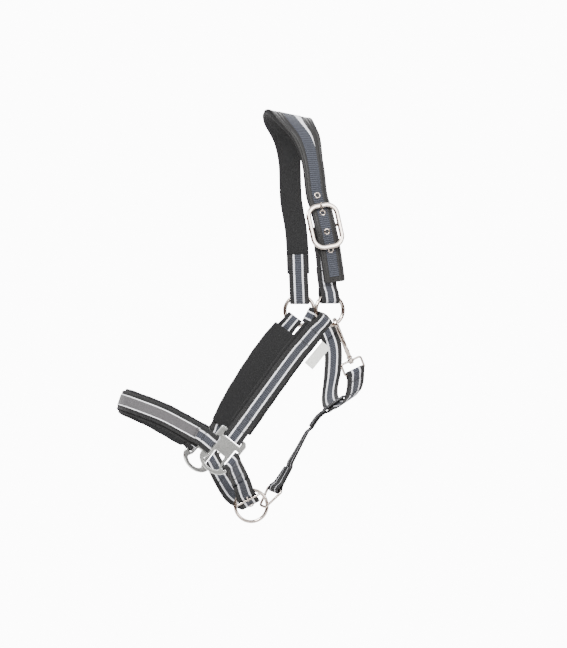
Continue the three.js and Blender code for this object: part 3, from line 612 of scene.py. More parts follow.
def crown_band_material(accent_from, accent_to):
    """Ribbed blue-grey webbing with a white stripe along its rear edge that tapers out."""
    n = Nodes("crown_band", GREY_YARN, 0.78, Sheen_Weight=0.06, Sheen_Roughness=0.4)
    across, along = n.uv()
    rib = n.wave(along, BAND_RIB)
    fuzz = n.noise(900, 2)
    valley = n.math("SUBTRACT", 1.0, rib)
    uneven = n.math("ADD", n.math("MULTIPLY", fuzz, 0.6), 0.5)
    # Painted shade: the valleys between the ribs are darkened in the colour of the band and of its white
    # stripe.
    rib_shade = n.math("MULTIPLY", valley, uneven, clamp=True)
    grey = n.mix(rib_shade, tone(69, 72, 82), tone(19, 21, 28))
    bright = n.mix(n.math("MULTIPLY", rib_shade, 0.55), WHITE_YARN, WHITE_RIB_SHADE)
    spread = n.math("DIVIDE", n.math("SUBTRACT", accent_to, along), accent_to - accent_from, clamp=True)
    width = n.math("MULTIPLY", n.math("POWER", spread, 0.7), 0.85)
    edge = n.math("SUBTRACT", 1.0, width)
    inside = n.math("GREATER_THAN", across, edge)
    started = n.math("GREATER_THAN", along, accent_from)
    n.color(n.mix(n.math("MULTIPLY", inside, started), grey, bright))
    warp = n.wave(across, 0.1)
    n.bump(n.math("ADD", rib, n.math("MULTIPLY", warp, 0.25)), 0.6)
    return n.material


def padding_material():
    """Soft black spacer mesh with a fine honeycomb face."""
    n = Nodes("padding", tone(30, 30, 32), 0.85, Sheen_Weight=0.06, Sheen_Roughness=0.4)
    cells = n.add("ShaderNodeTexVoronoi", feature="DISTANCE_TO_EDGE")
    cells.inputs["Scale"].default_value = 620
    n.link(n.add("ShaderNodeTexCoord").outputs["Object"], cells.inputs["Vector"])
    # Painted shade: the low edges of the honeycomb cells are darkened in the colour.
    hole = n.math("SUBTRACT", 1.0, n.step(cells.outputs["Distance"], 0.12, 0.2))
    cloud = n.noise(45, 3)
    base = n.mix(cloud, tone(9, 9, 11), tone(18, 17, 18))
    n.color(n.mix(n.math("MULTIPLY", hole, 0.5), base, tone(6, 6, 7)))
    n.bump(n.math("ADD", cells.outputs["Distance"], n.math("MULTIPLY", n.noise(160, 2), 0.6)), 0.5)
    return n.material


def cover_material():
    """Smooth dark textile with a fine grain and a worn, slightly warm surface."""
    n = Nodes("crown_cover", tone(52, 50, 49), 0.62, Sheen_Weight=0.1, Sheen_Roughness=0.4)
    grain = n.noise(1500, 4)
    cloud = n.noise(35, 4)
    n.color(n.mix(cloud, tone(14, 13, 13), tone(28, 26, 24)))
    n.roughness(n.math("ADD", n.math("MULTIPLY", cloud, 0.25), 0.48))
    n.bump(n.math("ADD", grain, n.math("MULTIPLY", n.noise(260, 2), 0.7)), 0.22)
    return n.material


def tape_material():
    """Fine grey tape with a thin white line near each edge."""
    n = Nodes("noseband_tape", tone(112, 110, 112), 0.7, Sheen_Weight=0.25)
    across, along = n.uv()
    away = n.math("ABSOLUTE", across)
    line = n.between(away, 0.80, 0.955, 0.03)
    # Painted shade: the tape is darker in the weave's hollows and lighter on its raised threads.
    weave_relief_and_shade = n.math("MULTIPLY", n.wave(along, 0.9), n.wave(across, 0.11))
    grey = n.mix(weave_relief_and_shade, tone(68, 66, 68), tone(94, 91, 93))
    n.color(n.mix(line, grey, WHITE_YARN))
    n.bump(weave_relief_and_shade, 0.15)
    return n.material


def label_material():
    n = Nodes("label_cloth", tone(226, 227, 223), 0.7, Sheen_Weight=0.2)
    across, along = n.uv()
    # Painted shade: the label is lighter on its raised threads and darker between them.
    weave_relief_and_shade = n.math("MULTIPLY", n.wave(along, 0.5), n.wave(across, 0.07))
    n.color(n.mix(weave_relief_and_shade, tone(232, 233, 227), tone(246, 247, 242)))
    n.bump(weave_relief_and_shade, 0.1)
    return n.material


def metal_material(name, color, roughness, wear=0.12, dent=0.02):
    """Plated metal whose polish varies with fine scratches and handling."""
    n = Nodes(name, color, roughness, 1.0)
    cloud = n.noise(90, 4)
    n.roughness(n.math("ADD", n.math("MULTIPLY", cloud, wear), roughness - wear / 2))
    dull = tuple(0.8 * c for c in color)
    n.color(n.mix(n.step(n.noise(240, 5), 0.6, 0.2), color, dull))
    n.bump(n.noise(700, 3), dent)
    return n.material


def casting_material():
    """Bead-blasted cast plate."""
    n = Nodes("cast_plate", tone(162, 162, 159), 0.5, 0.85)
    grain = n.noise(2400, 3)
    cloud = n.noise(70, 3)
    n.color(n.mix(cloud, tone(126, 127, 125), tone(150, 150, 147)))
    n.roughness(n.math("ADD", n.math("MULTIPLY", grain, 0.16), 0.42))
    n.bump(grain, 0.05)
    return n.material


def thread_material():
    n = Nodes("thread", tone(26, 26, 28), 0.6, Sheen_Weight=0.2)
    n.bump(n.noise(2600, 2), 0.08)
    return n.material


WEB = webbing_material()
JAW_WEB = webbing_material("jaw_webbing", BLACK_YARN, BLACK_RIB_SHADE, 0.42, 0.49)
PAD = padding_material()
COVER = cover_material()
TAPE = tape_material()
LABEL = label_material()
NICKEL = metal_material("nickel", tone(200, 188, 178), 0.15)
CAST = casting_material()
# A brighter copy of the cast metal for the castings' bevels: painted highlight.
CAST_PAINTED_HIGHLIGHT = metal_material("painted_highlight_edge", tone(240, 240, 236), 0.16)
THREAD = thread_material()

# ---------- crown ----------

CROWN_SIDE = [
    ((0.5, -22, -1.8), (0.98, 0, -0.18)),
    ((4.2, -39, -10.5), (0.99, 0.02, -0.10)),
    ((14.2, -57.2, -29), (1, 0.04, -0.03)),
    ((20, -72, -62), (1, 0.06, 0.04)),
    ((23.8, -81.5, -106), (0.99, 0.08, 0.12)),
]
CROWN_TAIL = [
    ((28, -84.2, -120), (0.982, 0.09, 0.15)),
    ((32.2, -91.9, -143.8), BAR_ACROSS),
    ((38, -91.6, -170), (0.978, 0.11, 0.17)),
    ((42, -93.4, -198), (0.977, 0.14, 0.14)),
    ((44.6, -94.6, -218), (0.974, 0.16, 0.13)),
]
CROWN_FAR_END = [
    ((36.3, -91, -219), RING_SIDE),
    ((32, -86.6, -150), (0.985, 0.12, 0.06)),
]
CROWN_RIGHT = [mirror_stop(s) for s in CROWN_FAR_END + CROWN_SIDE[::-1]] + [((0, 0, 0), (0.98, 0, -0.2))]
crown_line = StrapLine(CROWN_RIGHT + CROWN_SIDE + CROWN_TAIL)
POLL_S = StrapLine(CROWN_RIGHT).length
CROWN_LENGTH = crown_line.length
BAR_S = crown_line.nearest(BAR_AT)
EYELET_PLACES = [BAR_S - TONGUE_HOLE_AT + (i + 1) * EYELET_SPACING for i in (-2, -1, 0, 1)]


def near_poll(s):
    """1 at the poll, easing down to 0 on the cheeks."""
    x = min(max((abs(s - POLL_S) - 8) / 100, 0), 1)
    return 1 - x * x * (3 - 2 * x)


def blended(pair):
    return lambda s: pair[1] + (pair[0] - pair[1]) * near_poll(s)


crown_width = blended(CROWN_WIDTH)
lining_thick = blended(CROWN_LINING)
window_width = blended(WINDOW_WIDTH)


def cover_height(s):
    return lining_thick(s) + GAP * (1 + near_poll(s)) + COVER_THICK / 2


def tapered_end(width, line_length, corner=3.0):
    """Rounds the corners of a strap's free end."""
    def narrowed(s):
        left = line_length - s
        if left >= corner:
            return width(s)
        return width(s) - 2 * (corner - math.sqrt(max(corner ** 2 - (corner - left) ** 2, 0.2)))
    return narrowed


def crown():
    end = CROWN_LENGTH
    dense = np.concatenate([np.arange(14, end - 4, 3.0), np.linspace(end - 4, end, 8)])

    def lining_section(s):
        return flat_section(tapered_end(crown_width, end)(s), lining_thick(s), 10, 0.35 * near_poll(s))
    rings, uvs = ribbon(crown_line, [(s, lining_thick(s) / 2) for s in dense], lining_section)
    points, faces = loft(rings)
    lining = make("crown_pad", points, faces, "root", PAD, uvs, ["crown_lining"])

    def cover_section(s):
        width = tapered_end(crown_width, end)(s) - 2.0
        section = flat_section(width, COVER_THICK, 40)
        xs = section[:, 0]
        window = window_width(s) / 2
        room = max(width / 2 - window, 1.0)
        grooves = np.zeros(len(xs))
        count = 3 if room > 12 else 1
        for k in range(count):
            groove = window + room * (k + 0.62) / (count + 0.1)
            grooves += 0.95 * np.exp(-((np.abs(xs) - groove) / 0.8) ** 2)
        roll = 0.75 * np.exp(-((np.abs(xs) - (width / 2 - 1.6)) / 1.3) ** 2)
        top = section[:, 1] > 0
        section[:, 1] += np.where(top, roll - grooves, 0)
        section[:, 1] += np.where(top & (np.abs(xs) < window - 0.4), -0.5, 0)
        return section
    cover_stations = np.concatenate([np.arange(16, end - 4, 2.5), np.linspace(end - 4, end - 0.5, 8)])
    rings, uvs = ribbon(crown_line, [(s, cover_height(s)) for s in cover_stations], cover_section)
    points, faces = loft(rings)
    make("crown_cover_cloth", points, faces, "root", COVER, uvs, ["crown_cover"])

    band_from, band_to = 30.4, end - WINDOW_END - 0.4
    band_path = [(s, cover_height(s) + 0.32) for s in np.arange(band_from, band_to, 2.5)] + [
        (band_to, cover_height(band_to) + 0.32)]
    accent = crown_band_material(POLL_S - band_from + 6, POLL_S - band_from + 84)
    strap("crown_band", crown_line, band_path, accent,
          width=lambda s: window_width(s) - 0.8, thick=1.2, replaces=["crown_webbing"])

    rows = []
    for side in (-1, 1):
        for reach in (0.55, 1.0):
            row = []
            for s in np.arange(34, end - 4, 2.5):
                window, half = window_width(s) / 2, crown_width(s) / 2
                x = window + 1.2 if reach < 1 else half - 3.4
                row.append((crown_line.spot(s, cover_height(s) + COVER_THICK / 2 + 0.05, side * x),
                            crown_line.at(s)[3]))
            rows.append(row)
    across_end = end - WINDOW_END + 2.6
    top = cover_height(end) + COVER_THICK / 2 + 0.05
    rows.append(seam(crown_line, across_end, across_end, -8, 8, top, 1.0))
    stitches("crown_stitches", rows, THREAD)


def eyelet_profile(outer, hole, rise, depth):
    """A domed rim round a hole, with a barrel that goes down by depth."""
    profile = [(hole, -depth)]
    profile += [(hole + 0.9 * rise * (1 - math.cos(a)), 0.15 + 0.85 * rise * math.sin(a))
                for a in np.linspace(0, math.pi / 2, 7)]
    profile += [(outer - 0.5 * (1 - math.sin(a)), 0.23 * rise + 0.6 * rise * math.cos(a))
                for a in np.linspace(0.2, math.pi / 2, 6)]
    return profile + [(outer, 0.02), (hole + 0.8, 0.0), (hole + 0.8, -depth)]


def eyelets():
    profile = eyelet_profile(EYELET_OUTER, EYELET_HOLE, 1.0, 1.0)
    for i, s in enumerate(EYELET_PLACES):
        _, tangent, across, _ = crown_line.at(s)
        seat = crown_line.spot(s, cover_height(s) + COVER_THICK / 2 + 0.05)
        points, faces = lathe(profile, frame_at(seat, across, -tangent))
        make(f"eyelet_{i + 1}", points, faces, "root", NICKEL, replaces=[f"crown_eyelet_{i + 1}"])
        # A dark disc inside each eyelet's hole, except the one the tongue goes through: painted shade for the
        # depth of the hole.
        shade_disc = [(0.0, 0.13), (EYELET_HOLE, 0.13), (EYELET_HOLE, 0.2), (0.0, 0.2)]
        points, faces = lathe(shade_disc, frame_at(seat, across, -tangent), 24)
        if i != 1:
            make(f"eyelet_shade_disc_{i + 1}", points, faces, "root", THREAD)


def crown_buckle():
    matrix = frame_at(BAR_AT, BAR_ACROSS, vec(-0.178, 0.146, 0.973))
    b = BUCKLE
    outline = rounded_rectangle(b["width"] - b["bar"], b["height"] - b["bar"], b["corner"] - b["bar"] / 2, 16)
    count = len(outline)
    rings = []
    for i, (x, y) in enumerate(outline):
        before, after = np.array(outline[i - 1]), np.array(outline[(i + 1) % count])
        tangent = unit(after - before)
        outside = vec(tangent[1], -tangent[0], 0)
        ring = []
        for angle in np.linspace(0, 2 * math.pi, 24, endpoint=False):
            c, s = math.cos(angle), math.sin(angle)
            wide = b["bar"] / 2 * np.sign(c) * abs(c) ** 0.72
            high = b["thick"] / 2 * np.sign(s) * abs(s) ** 0.6
            ring.append(vec(x, y, b["lift"]) + outside * wide + UP * high)
        rings.append(place(matrix, ring))
    points, faces = loft(rings, closed=True)
    make("buckle_rim", points, faces, "crown_buckle", NICKEL, replaces=["crown_buckle_frame"])
    half = b["width"] / 2 - b["bar"] / 2
    rising = [vec(half - 2.2, 0, 0), vec(half - 0.6, 0, 0.7), vec(half, 0, 2.2), vec(half, 0, b["lift"] - 0.6)]
    bridge = [v * (-1, 1, 1) for v in rising[::-1]] + [vec(0, 0, 0)] + rising
    tube("buckle_bar", place(matrix, smooth_path(bridge, 60)), b["pin"], "crown_buckle", NICKEL)

    hole = place(np.linalg.inv(matrix), crown_line.spot(BAR_S - TONGUE_HOLE_AT, cover_height(BAR_S) + 0.4))[0]
    hole = hole + vec(0, 0.5, 0)
    shaft = [vec(0, 2.6, 0.4), vec(0, 10.5, 1.3), vec(0, 18.4, 4), hole, vec(0, 20.8, 11.4), vec(0, 25, 13),
             vec(0, 31.5, 12.9)]
    wrap = [vec(0, math.cos(a) * 3.1, math.sin(a) * 3.1) for a in np.linspace(-5.4, -0.25, 14)]
    path = np.vstack([smooth_path(wrap, 30), smooth_path(shaft[1:], 50)])
    shaft_radii = [np.linspace(1.05, 0.9, 28), np.full(12, 0.9), np.linspace(0.9, 0.7, 10)]
    radii = np.concatenate([np.full(30, 1.0), *shaft_radii])
    tube("buckle_tongue", place(matrix, path), radii, "crown_tongue", NICKEL,
         replaces=["crown_buckle_tongue"])


# ---------- rings and the webbing round them ----------

RING_LOOP = {"open": 3, "reach": 6, "radius": RING_WIRE + 1.1 + WEB_THICK / 2}
NARROW_LOOP = {"open": 3, "reach": 4.8, "radius": RING_WIRE + 1.1 + WEB_THICK / 2, "width": 22.5}


def upper_rings():
    for name, side in (("left", 1), ("right", -1)):
        flip = vec(1, side, 1)
        angles = np.linspace(0, 2 * math.pi, 96, endpoint=False)
        circle = [(RING_AT + RING_SIDE * RING_RADIUS * math.cos(a) + UP * RING_RADIUS * math.sin(a)) * flip
                  for a in angles]
        tube(f"ring_{name}", circle, RING_WIRE, f"ring_{name}", NICKEL, closed=True,
             replaces=[f"upper_ring_{name}"])


def end_seams(line, at, way, width, h):
    """The box of stitches that holds a folded strap end: two rows across and one near each edge."""
    half = width / 2 - 2.2
    rows = []
    for back in (0, 1.2, 20, 21.2):
        rows.append(seam(line, at + way * back, at + way * back, -half, half, h, 1.5))
    for x in (-half, half):
        rows.append(seam(line, at, at + way * 20, x, x, h, 2.0))
    return rows


def hanger():
    line = StrapLine([
        (BAR_AT, BAR_ACROSS),
        ((31.2, -88.5, -167), (0.985, 0.12, 0.10)),
        ((33.8, -91.8, -207), (0.975, 0.21, 0.03)),
        (on_ring(HANGER_ANGLE), RING_SIDE),
    ])
    bar = {"open": 1, "reach": 0, "radius": BUCKLE["pin"] + GAP + WEB_THICK / 2}
    path = looped_route(line.length, bar, RING_LOOP, LAYER)
    strap("hanger_strap", line, path, WEB, replaces=["hanger_webbing"])
    rows = end_seams(line, line.length - 12, -1, WEB_WIDTH, LAYER + WEB_THICK / 2 + 0.1)
    stitches("hanger_stitches", rows, THREAD)


def crown_end_loop():
    origin, tangent, _, _ = crown_line.at(0)
    wire = -(origin - mirrored(on_ring(HANGER_ANGLE))) @ tangent
    middle = lining_thick(0) / 2 + 0.9
    above = cover_height(0) + COVER_THICK / 2 + GAP + WEB_THICK / 2
    below = -GAP - WEB_THICK / 2
    opening, reach, radius = RING_LOOP["open"], RING_LOOP["reach"], RING_LOOP["radius"]
    path = [
        *run((44, above), (14, above)),
        (wire + opening, middle + radius),
        *bend(wire - reach, middle, radius, 90, 270),
        (wire + opening, middle - radius),
        *run((14, below), (40, below)),
    ]
    strap("crown_end_loop", crown_line, path, WEB, replaces=["crown_end_webbing"])
    rows = end_seams(crown_line, 20, 1, WEB_WIDTH, above + WEB_THICK / 2 + 0.1)
    stitches("crown_end_stitches", rows, THREAD)


# ---------- cheekpieces ----------


def padded_strip(name, line, start, stop, middle, replaces, body="root"):
    """A soft pad under a strap, with puffed faces."""
    stations = np.concatenate([np.linspace(start, start + 3, 6), np.arange(start + 5, stop - 4, 2.5),
                               np.linspace(stop - 3, stop, 6)])

    def section(s):
        near_end = min(s - start, stop - s)
        fullness = min(1.0, 0.45 + near_end / 8)
        ripple = 0.16 * math.sin(s * 0.9) + 0.12 * math.sin(s * 0.37 + 1.0)
        width = PAD_WIDTH - 3.0 * max(0, 1 - near_end / 2.5) ** 2 + 0.35 * math.sin(s * 0.21)
        outline = flat_section(width, 2.2 * fullness, 18, 0.0)
        xs = outline[:, 0] / (width / 2)
        puff = 0.95 * fullness * (1 - np.abs(xs) ** 3.2) + ripple * 0.3 * (1 - np.abs(xs))
        outline[:, 1] += np.where(outline[:, 1] > 0, puff * 0.9, -puff)
        return outline
    rings, uvs = ribbon(line, [(s, middle) for s in stations], section)
    points, faces = loft(rings)
    pad = make(name, points, faces, body, PAD, uvs, replaces)
    return pad


def cheek_line(side):
    stops = [
        (on_casting(0.5, 18.9), E2),
        ((-53, -85, -374), (0.79, 0.02, -0.61)),
        ((-7.2, -97, -310), (0.79, 0.12, -0.60)),
        (on_ring(CHEEK_ANGLE), ring_tangent(CHEEK_ANGLE)),
    ]
    if side > 0:
        stops = [mirror_stop(s) for s in stops]
    return facing(stops, vec(0, side, 0))


def cheekpieces():
    for name, side in (("left", -1), ("right", 1)):
        line = cheek_line(side)
        end = line.length
        path = looped_route(end, {"open": 1, "reach": 1.8, "radius": 4.2}, NARROW_LOOP)

        def width(s, end=end):
            pinch = min(max((s - end + 16) / 10, 0), 1)
            return WEB_WIDTH - (WEB_WIDTH - NARROW_LOOP["width"]) * pinch
        strap(f"cheek_strap_{name}", line, path, WEB, width=width,
              replaces=[f"cheek_webbing_{name}"])
        padded_strip(f"cheek_padding_{name}", line, 12, end - 12, PAD_MIDDLE, [f"cheek_pad_{name}"])
        top = LAYER + WEB_THICK / 2 + STITCH_RISE
        middle = -LAYER + WEB_THICK / 2 + STITCH_RISE
        rows = end_seams(line, 11, 1, WEB_WIDTH, top) + end_seams(line, end - 15, -1, WEB_WIDTH - 1, top)
        for x in (-WEB_WIDTH / 2 + 1.7, WEB_WIDTH / 2 - 1.7):
            rows.append(seam(line, 46, end - 50, x, x, middle, 3.0))
        stitches(f"cheek_stitches_{name}", rows, THREAD)
        if side < 0:
            label(line)


def label(line):
    """A cloth label that stands out from the cheek pad's edge and curls a little."""
    half, height, thick = LABEL_SIZE["width"] / 2, LABEL_SIZE["height"], LABEL_SIZE["thick"]
    s = line.length - LABEL_SIZE["back"]
    _, tangent, across, normal = line.at(s)
    away = across if across @ vec(1, 0, -1) > 0 else -across
    at = line.spot(s, -2 * LAYER) + away * (PAD_WIDTH / 2 + height / 2 + LABEL_SIZE["proud"])
    matrix = frame_at(at, tangent, away + 0.12 * normal)
    rings, uvs = [], []
    for y in np.linspace(-height / 2, height / 2, 12):
        out = (y + height / 2) / height
        ring = []
        for way in (1, -1):
            for x in np.linspace(-half * way, half * way, 16):
                curl = 0.45 * out ** 2 + 0.15 * math.sin(x * 0.22) * out
                ring.append((x, y, curl + way * thick / 2))
        rings.append(place(matrix, ring))
        uvs += [(x / half, y) for x, _, _ in ring]
    points, faces = loft(rings)
    make("label_cloth", points, faces, "root", LABEL, uvs, ["label_tab"])


# ---------- side castings ----------


def casting_outlines():
    outer = arc(0.1, -24, 21.7, 15, 180, 360, 40)
    outer += [(21.8, 5.5), (21.8, 15.5), (21.2, 16.8), (18.2, 20.3), (17.2, 20.9)]
    outer += [(-19.6, 20.9), (-20.6, 20.5), (-21.3, 19.7), (-21.6, 18.7)]
    cheek = rounded_at(0.5, 14.1, 27.4, 5.6, 1.0)
    nose = rounded_at(-15.25, -8.1, 5.3, 27.8, 1.0)
    chin = rounded_at(15.3, -10.2, 5.2, 30, 1.0)
    dee = [(-8.2, -11.6), (-7.4, -10.8), (6.6, -10.8), (7.5, -11.6), (9.2, -23), (12, -28.4)]
    dee += arc(-0.9, -26.2, 13, 8, -18, -162, 30)
    dee += [(-9.6, -22)]
    return [outer, cheek, nose, chin, dee]


def rounded_at(cx, cy, width, height, corner):
    return [(x + cx, y + cy) for x, y in rounded_rectangle(width, height, corner, 5)]


def side_castings():
    outlines = casting_outlines()
    plate("cast_plate_left", outlines, CASTING_THICK, 1.1, frame_at(CASTING_AT, E2, E1), "root", CAST,
          ["side_casting_left"], CAST_PAINTED_HIGHLIGHT)
    turned = [[(-x, y) for x, y in outline] for outline in outlines]
    matrix = frame_at(mirrored(CASTING_AT), -mirrored(E2), mirrored(E1))
    plate("cast_plate_right", turned, CASTING_THICK, 1.1, matrix, "root", CAST,
          ["side_casting_right"], CAST_PAINTED_HIGHLIGHT)


# ---------- noseband ----------


def noseband():
    half = [
        (on_casting(-19.75, -8.2), E1),
        ((-124, -57.6, -422.4), (0.54, -0.06, 0.84)),
        ((-143, -55.5, -411.5), (0.45, 0.02, 0.89)),
        ((-175, -49, -394), (0.42, 0.02, 0.91)),
        ((-205, -38, -381.5), (0.38, 0, 0.925)),
        ((-221, -22, -375), (0.34, 0, 0.94)),
    ]
    line = facing(half + [((-225, 0, -373), (0.32, 0, 0.947))] + [mirror_stop(s) for s in half[::-1]],
                  vec(-1, 0, 0))
    end = line.length
    bar = {"open": 1, "reach": 1.3, "radius": 4.2}
    strap("noseband_strap", line, looped_route(end, bar, bar), WEB, replaces=["noseband_webbing"])
    padded_strip("noseband_padding", line, 11, end - 11, PAD_MIDDLE, ["noseband_pad"])
    over_fold = LAYER + WEB_THICK / 2 + GAP / 2 + TAPE_THICK / 2
    over_single = -LAYER + WEB_THICK / 2 + GAP / 2 + TAPE_THICK / 2

    def tape_height(s):
        """The tape lies on the folded ends, and steps down to the single layer between them."""
        drop = min(max((min(s, end - s) - TAPE_STEP[0]) / (TAPE_STEP[1] - TAPE_STEP[0]), 0), 1)
        return over_fold + (over_single - over_fold) * drop
    stations = np.linspace(TAPE_FROM, end - TAPE_FROM, 150)
    strap("noseband_band", line, [(s, tape_height(s)) for s in stations], TAPE, width=TAPE_WIDTH,
          thick=TAPE_THICK, replaces=["noseband_tape"])
    top = LAYER + WEB_THICK / 2 + STITCH_RISE
    rows = end_seams(line, 11, 1, WEB_WIDTH, top) + end_seams(line, end - 11, -1, WEB_WIDTH, top)
    on_tape = over_fold + TAPE_THICK / 2 + STITCH_RISE
    for back in (2.0, 3.4):
        for s in (TAPE_FROM + back, end - TAPE_FROM - back):
            rows.append(seam(line, s, s, -TAPE_WIDTH / 2, TAPE_WIDTH / 2, on_tape, 1.5))
    low = -LAYER + WEB_THICK / 2 + STITCH_RISE
    for x in (-WEB_WIDTH / 2 + 1.8, WEB_WIDTH / 2 - 1.8):
        rows.append(seam(line, 46, end - 46, x, x, low, 3.0))
    stitches("noseband_stitches", rows, THREAD)


# ---------- chin ----------

CHIN_AT = vec(-51, -14, -514.4)
CHIN_BAR = vec(0.869, -0.185, 0.46)
CHIN_TOP = vec(-0.450, 0.096, 0.888)
CHIN_FRAME = frame_at(CHIN_AT, CHIN_BAR, CHIN_TOP)


def on_chin(x, q, t):
    return CHIN_AT + CHIN_BAR * x + CHIN_TOP * q + OUTWARD * t


def chin_ring():
    angles = np.linspace(0, 2 * math.pi, 96, endpoint=False)
    circle = place(CHIN_FRAME, [(CHIN_RADIUS * math.cos(a), CHIN_RADIUS * math.sin(a), 0) for a in angles])
    tube("lead_ring", circle, CHIN_WIRE, "chin_ring", NICKEL, closed=True, replaces=["chin_ring"])
    half = math.sqrt(CHIN_RADIUS ** 2 - CHIN_BAR_OFFSET ** 2)
    bar = place(CHIN_FRAME, [(x, CHIN_BAR_OFFSET, 0) for x in np.linspace(-half, half, 24)])
    flare = 1.6 + 0.7 * np.clip((np.abs(np.linspace(-half, half, 24)) - half + 2.4) / 2.4, 0, 1) ** 2
    tube("lead_ring_bar", bar, flare, "chin_ring", NICKEL)
    wrap = [vec(0, CHIN_RADIUS + math.cos(a) * 3.2, math.sin(a) * 3.2) for a in np.linspace(-2.2, 2.9, 12)]
    shaft = [vec(0, 17.2, 1.9), vec(0, 14, 2.9), vec(0, 9, 3.5), vec(0, 6.4, 3.3)]
    path = np.vstack([smooth_path(wrap, 26), smooth_path(shaft, 26)])
    radii = np.concatenate([np.full(26, 1.0), np.linspace(1.15, 0.85, 26)])
    tube("lead_ring_tongue", place(CHIN_FRAME, path), radii, "chin_tongue", NICKEL,
         replaces=["chin_tongue"])


def chin_straps():
    near = StrapLine([
        (on_casting(19.8, -11.2), E1),
        ((-75.5, -42, -472), (0.72, -0.16, 0.66)),
        ((-65.3, -19.5, -486), (0.86, -0.17, 0.48)),
        (on_chin(0, CHIN_RADIUS, 0), CHIN_BAR),
    ])
    end = near.length
    path = [
        *run((FOLD, -LAYER), (11, -LAYER)),
        *bend(-1.3, 0, 4.2, -90, -270),
        *run((11, LAYER), (end - 13, LAYER)),
        *bend(end + 1.6, 0, 4.15, 90, -90),
        *run((end - 13, -LAYER), (end - 24, -LAYER)),
    ]

    def width(s):
        return WEB_WIDTH - 9 * min(max((s - end + 18) / 12, 0), 1)
    strap("chin_strap_near", near, path, WEB, width=width, replaces=["chin_strap_left"])

    def lying(back, h):
        return near.spot(end - back, h)
    stops = [
        (mirrored(on_casting(19.8, -11.2)), mirrored(E1)),
        ((-77, 44, -482), (0.72, 0.1, 0.68)),
        ((-66, 20, -503), (0.80, -0.04, 0.59)),
        (on_chin(0, 0.5, -12), CHIN_BAR),
        (on_chin(0, 5.5, -5.2), CHIN_BAR),
        (on_chin(0, 9.4, -3.1), CHIN_BAR),
        (on_chin(0, 12.4, 0.4), CHIN_BAR),
        (on_chin(0, 14.4, 4.2), CHIN_BAR),
        (lying(-1, 7.2), CHIN_BAR),
        (lying(7, 5.6), CHIN_BAR),
        (lying(15, 4.2), near.at(end - 15)[2]),
        (lying(24, 3.6), near.at(end - 24)[2]),
    ]
    far = StrapLine(stops)
    length = far.length
    path = [
        *run((FOLD, -LAYER), (11, -LAYER)),
        *bend(-1.3, 0, 4.2, -90, -270),
        *run((11, LAYER), (FOLD + 2, LAYER)),
        *run((FOLD + 10, 0), (length, 0), 2.0),
    ]
    strap("chin_strap_far", far, path, WEB, width=tapered_end(lambda s: WEB_WIDTH, length, 2.0),
          replaces=["chin_strap_right"])
    rows = end_seams(near, 11, 1, WEB_WIDTH, LAYER + WEB_THICK / 2 + STITCH_RISE)
    rows.append(seam(far, length - 4, length - 4, -10.5, 10.5, WEB_THICK / 2 + STITCH_RISE, 1.5))
    rows += end_seams(far, 11, 1, WEB_WIDTH, LAYER + WEB_THICK / 2 + STITCH_RISE)
    stitches("chin_stitches", rows, THREAD)
    chin_eyelets(far)


def chin_eyelets(far):
    """Two eyelets of the strap's outer layer: one under the ring's tongue and one below the ring."""
    first = far.nearest(on_chin(0, 1.6, -10.4))
    outer, hole = CHIN_EYELET["outer"], CHIN_EYELET["hole"]
    for i, s in enumerate((first, first - CHIN_EYELET["spacing"])):
        _, tangent, across, _ = far.at(s)
        seat = frame_at(far.spot(s, -WEB_THICK / 2 - 0.5), across, tangent)
        points, faces = lathe(eyelet_profile(outer, hole, 0.6, 0.5), seat)
        name = f"chin_eyelet_{i + 1}"
        make(name + "_rim", points, faces, "root", NICKEL, replaces=[name])


# ---------- snap hook ----------

SWIVEL_AT = vec(67, -88, -318.9)
SNAP_REACH = np.linalg.norm(on_ring(SNAP_ANGLE) - SWIVEL_AT)
SNAP_ARC = SNAP_REACH - 1.8
SNAP_AXIS = unit(on_ring(SNAP_ANGLE) - SWIVEL_AT)
SNAP_FRAME = frame_at(SWIVEL_AT, SNAP_AXIS, OUTWARD)
EYE_ACROSS = vec(0.9, 0.19, 0.39)
EYE_SIDE = unit(EYE_ACROSS - SNAP_AXIS * (EYE_ACROSS @ SNAP_AXIS))
EYE_FRAME = frame_at(SWIVEL_AT - SNAP_AXIS * 2.6, EYE_SIDE, SNAP_AXIS)
EYE_DROP = EYE["height"] - EYE["wire"]
SNAP_MIDDLE = 7.2
SNAP_HALF = 2.1
PIVOT = (12, 5.9)


def quadratic(start, control, end, count=8):
    ts = np.linspace(0, 1, count)
    return [tuple((1 - t) ** 2 * np.array(start) + 2 * t * (1 - t) * np.array(control) + t * t * np.array(end))
            for t in ts]


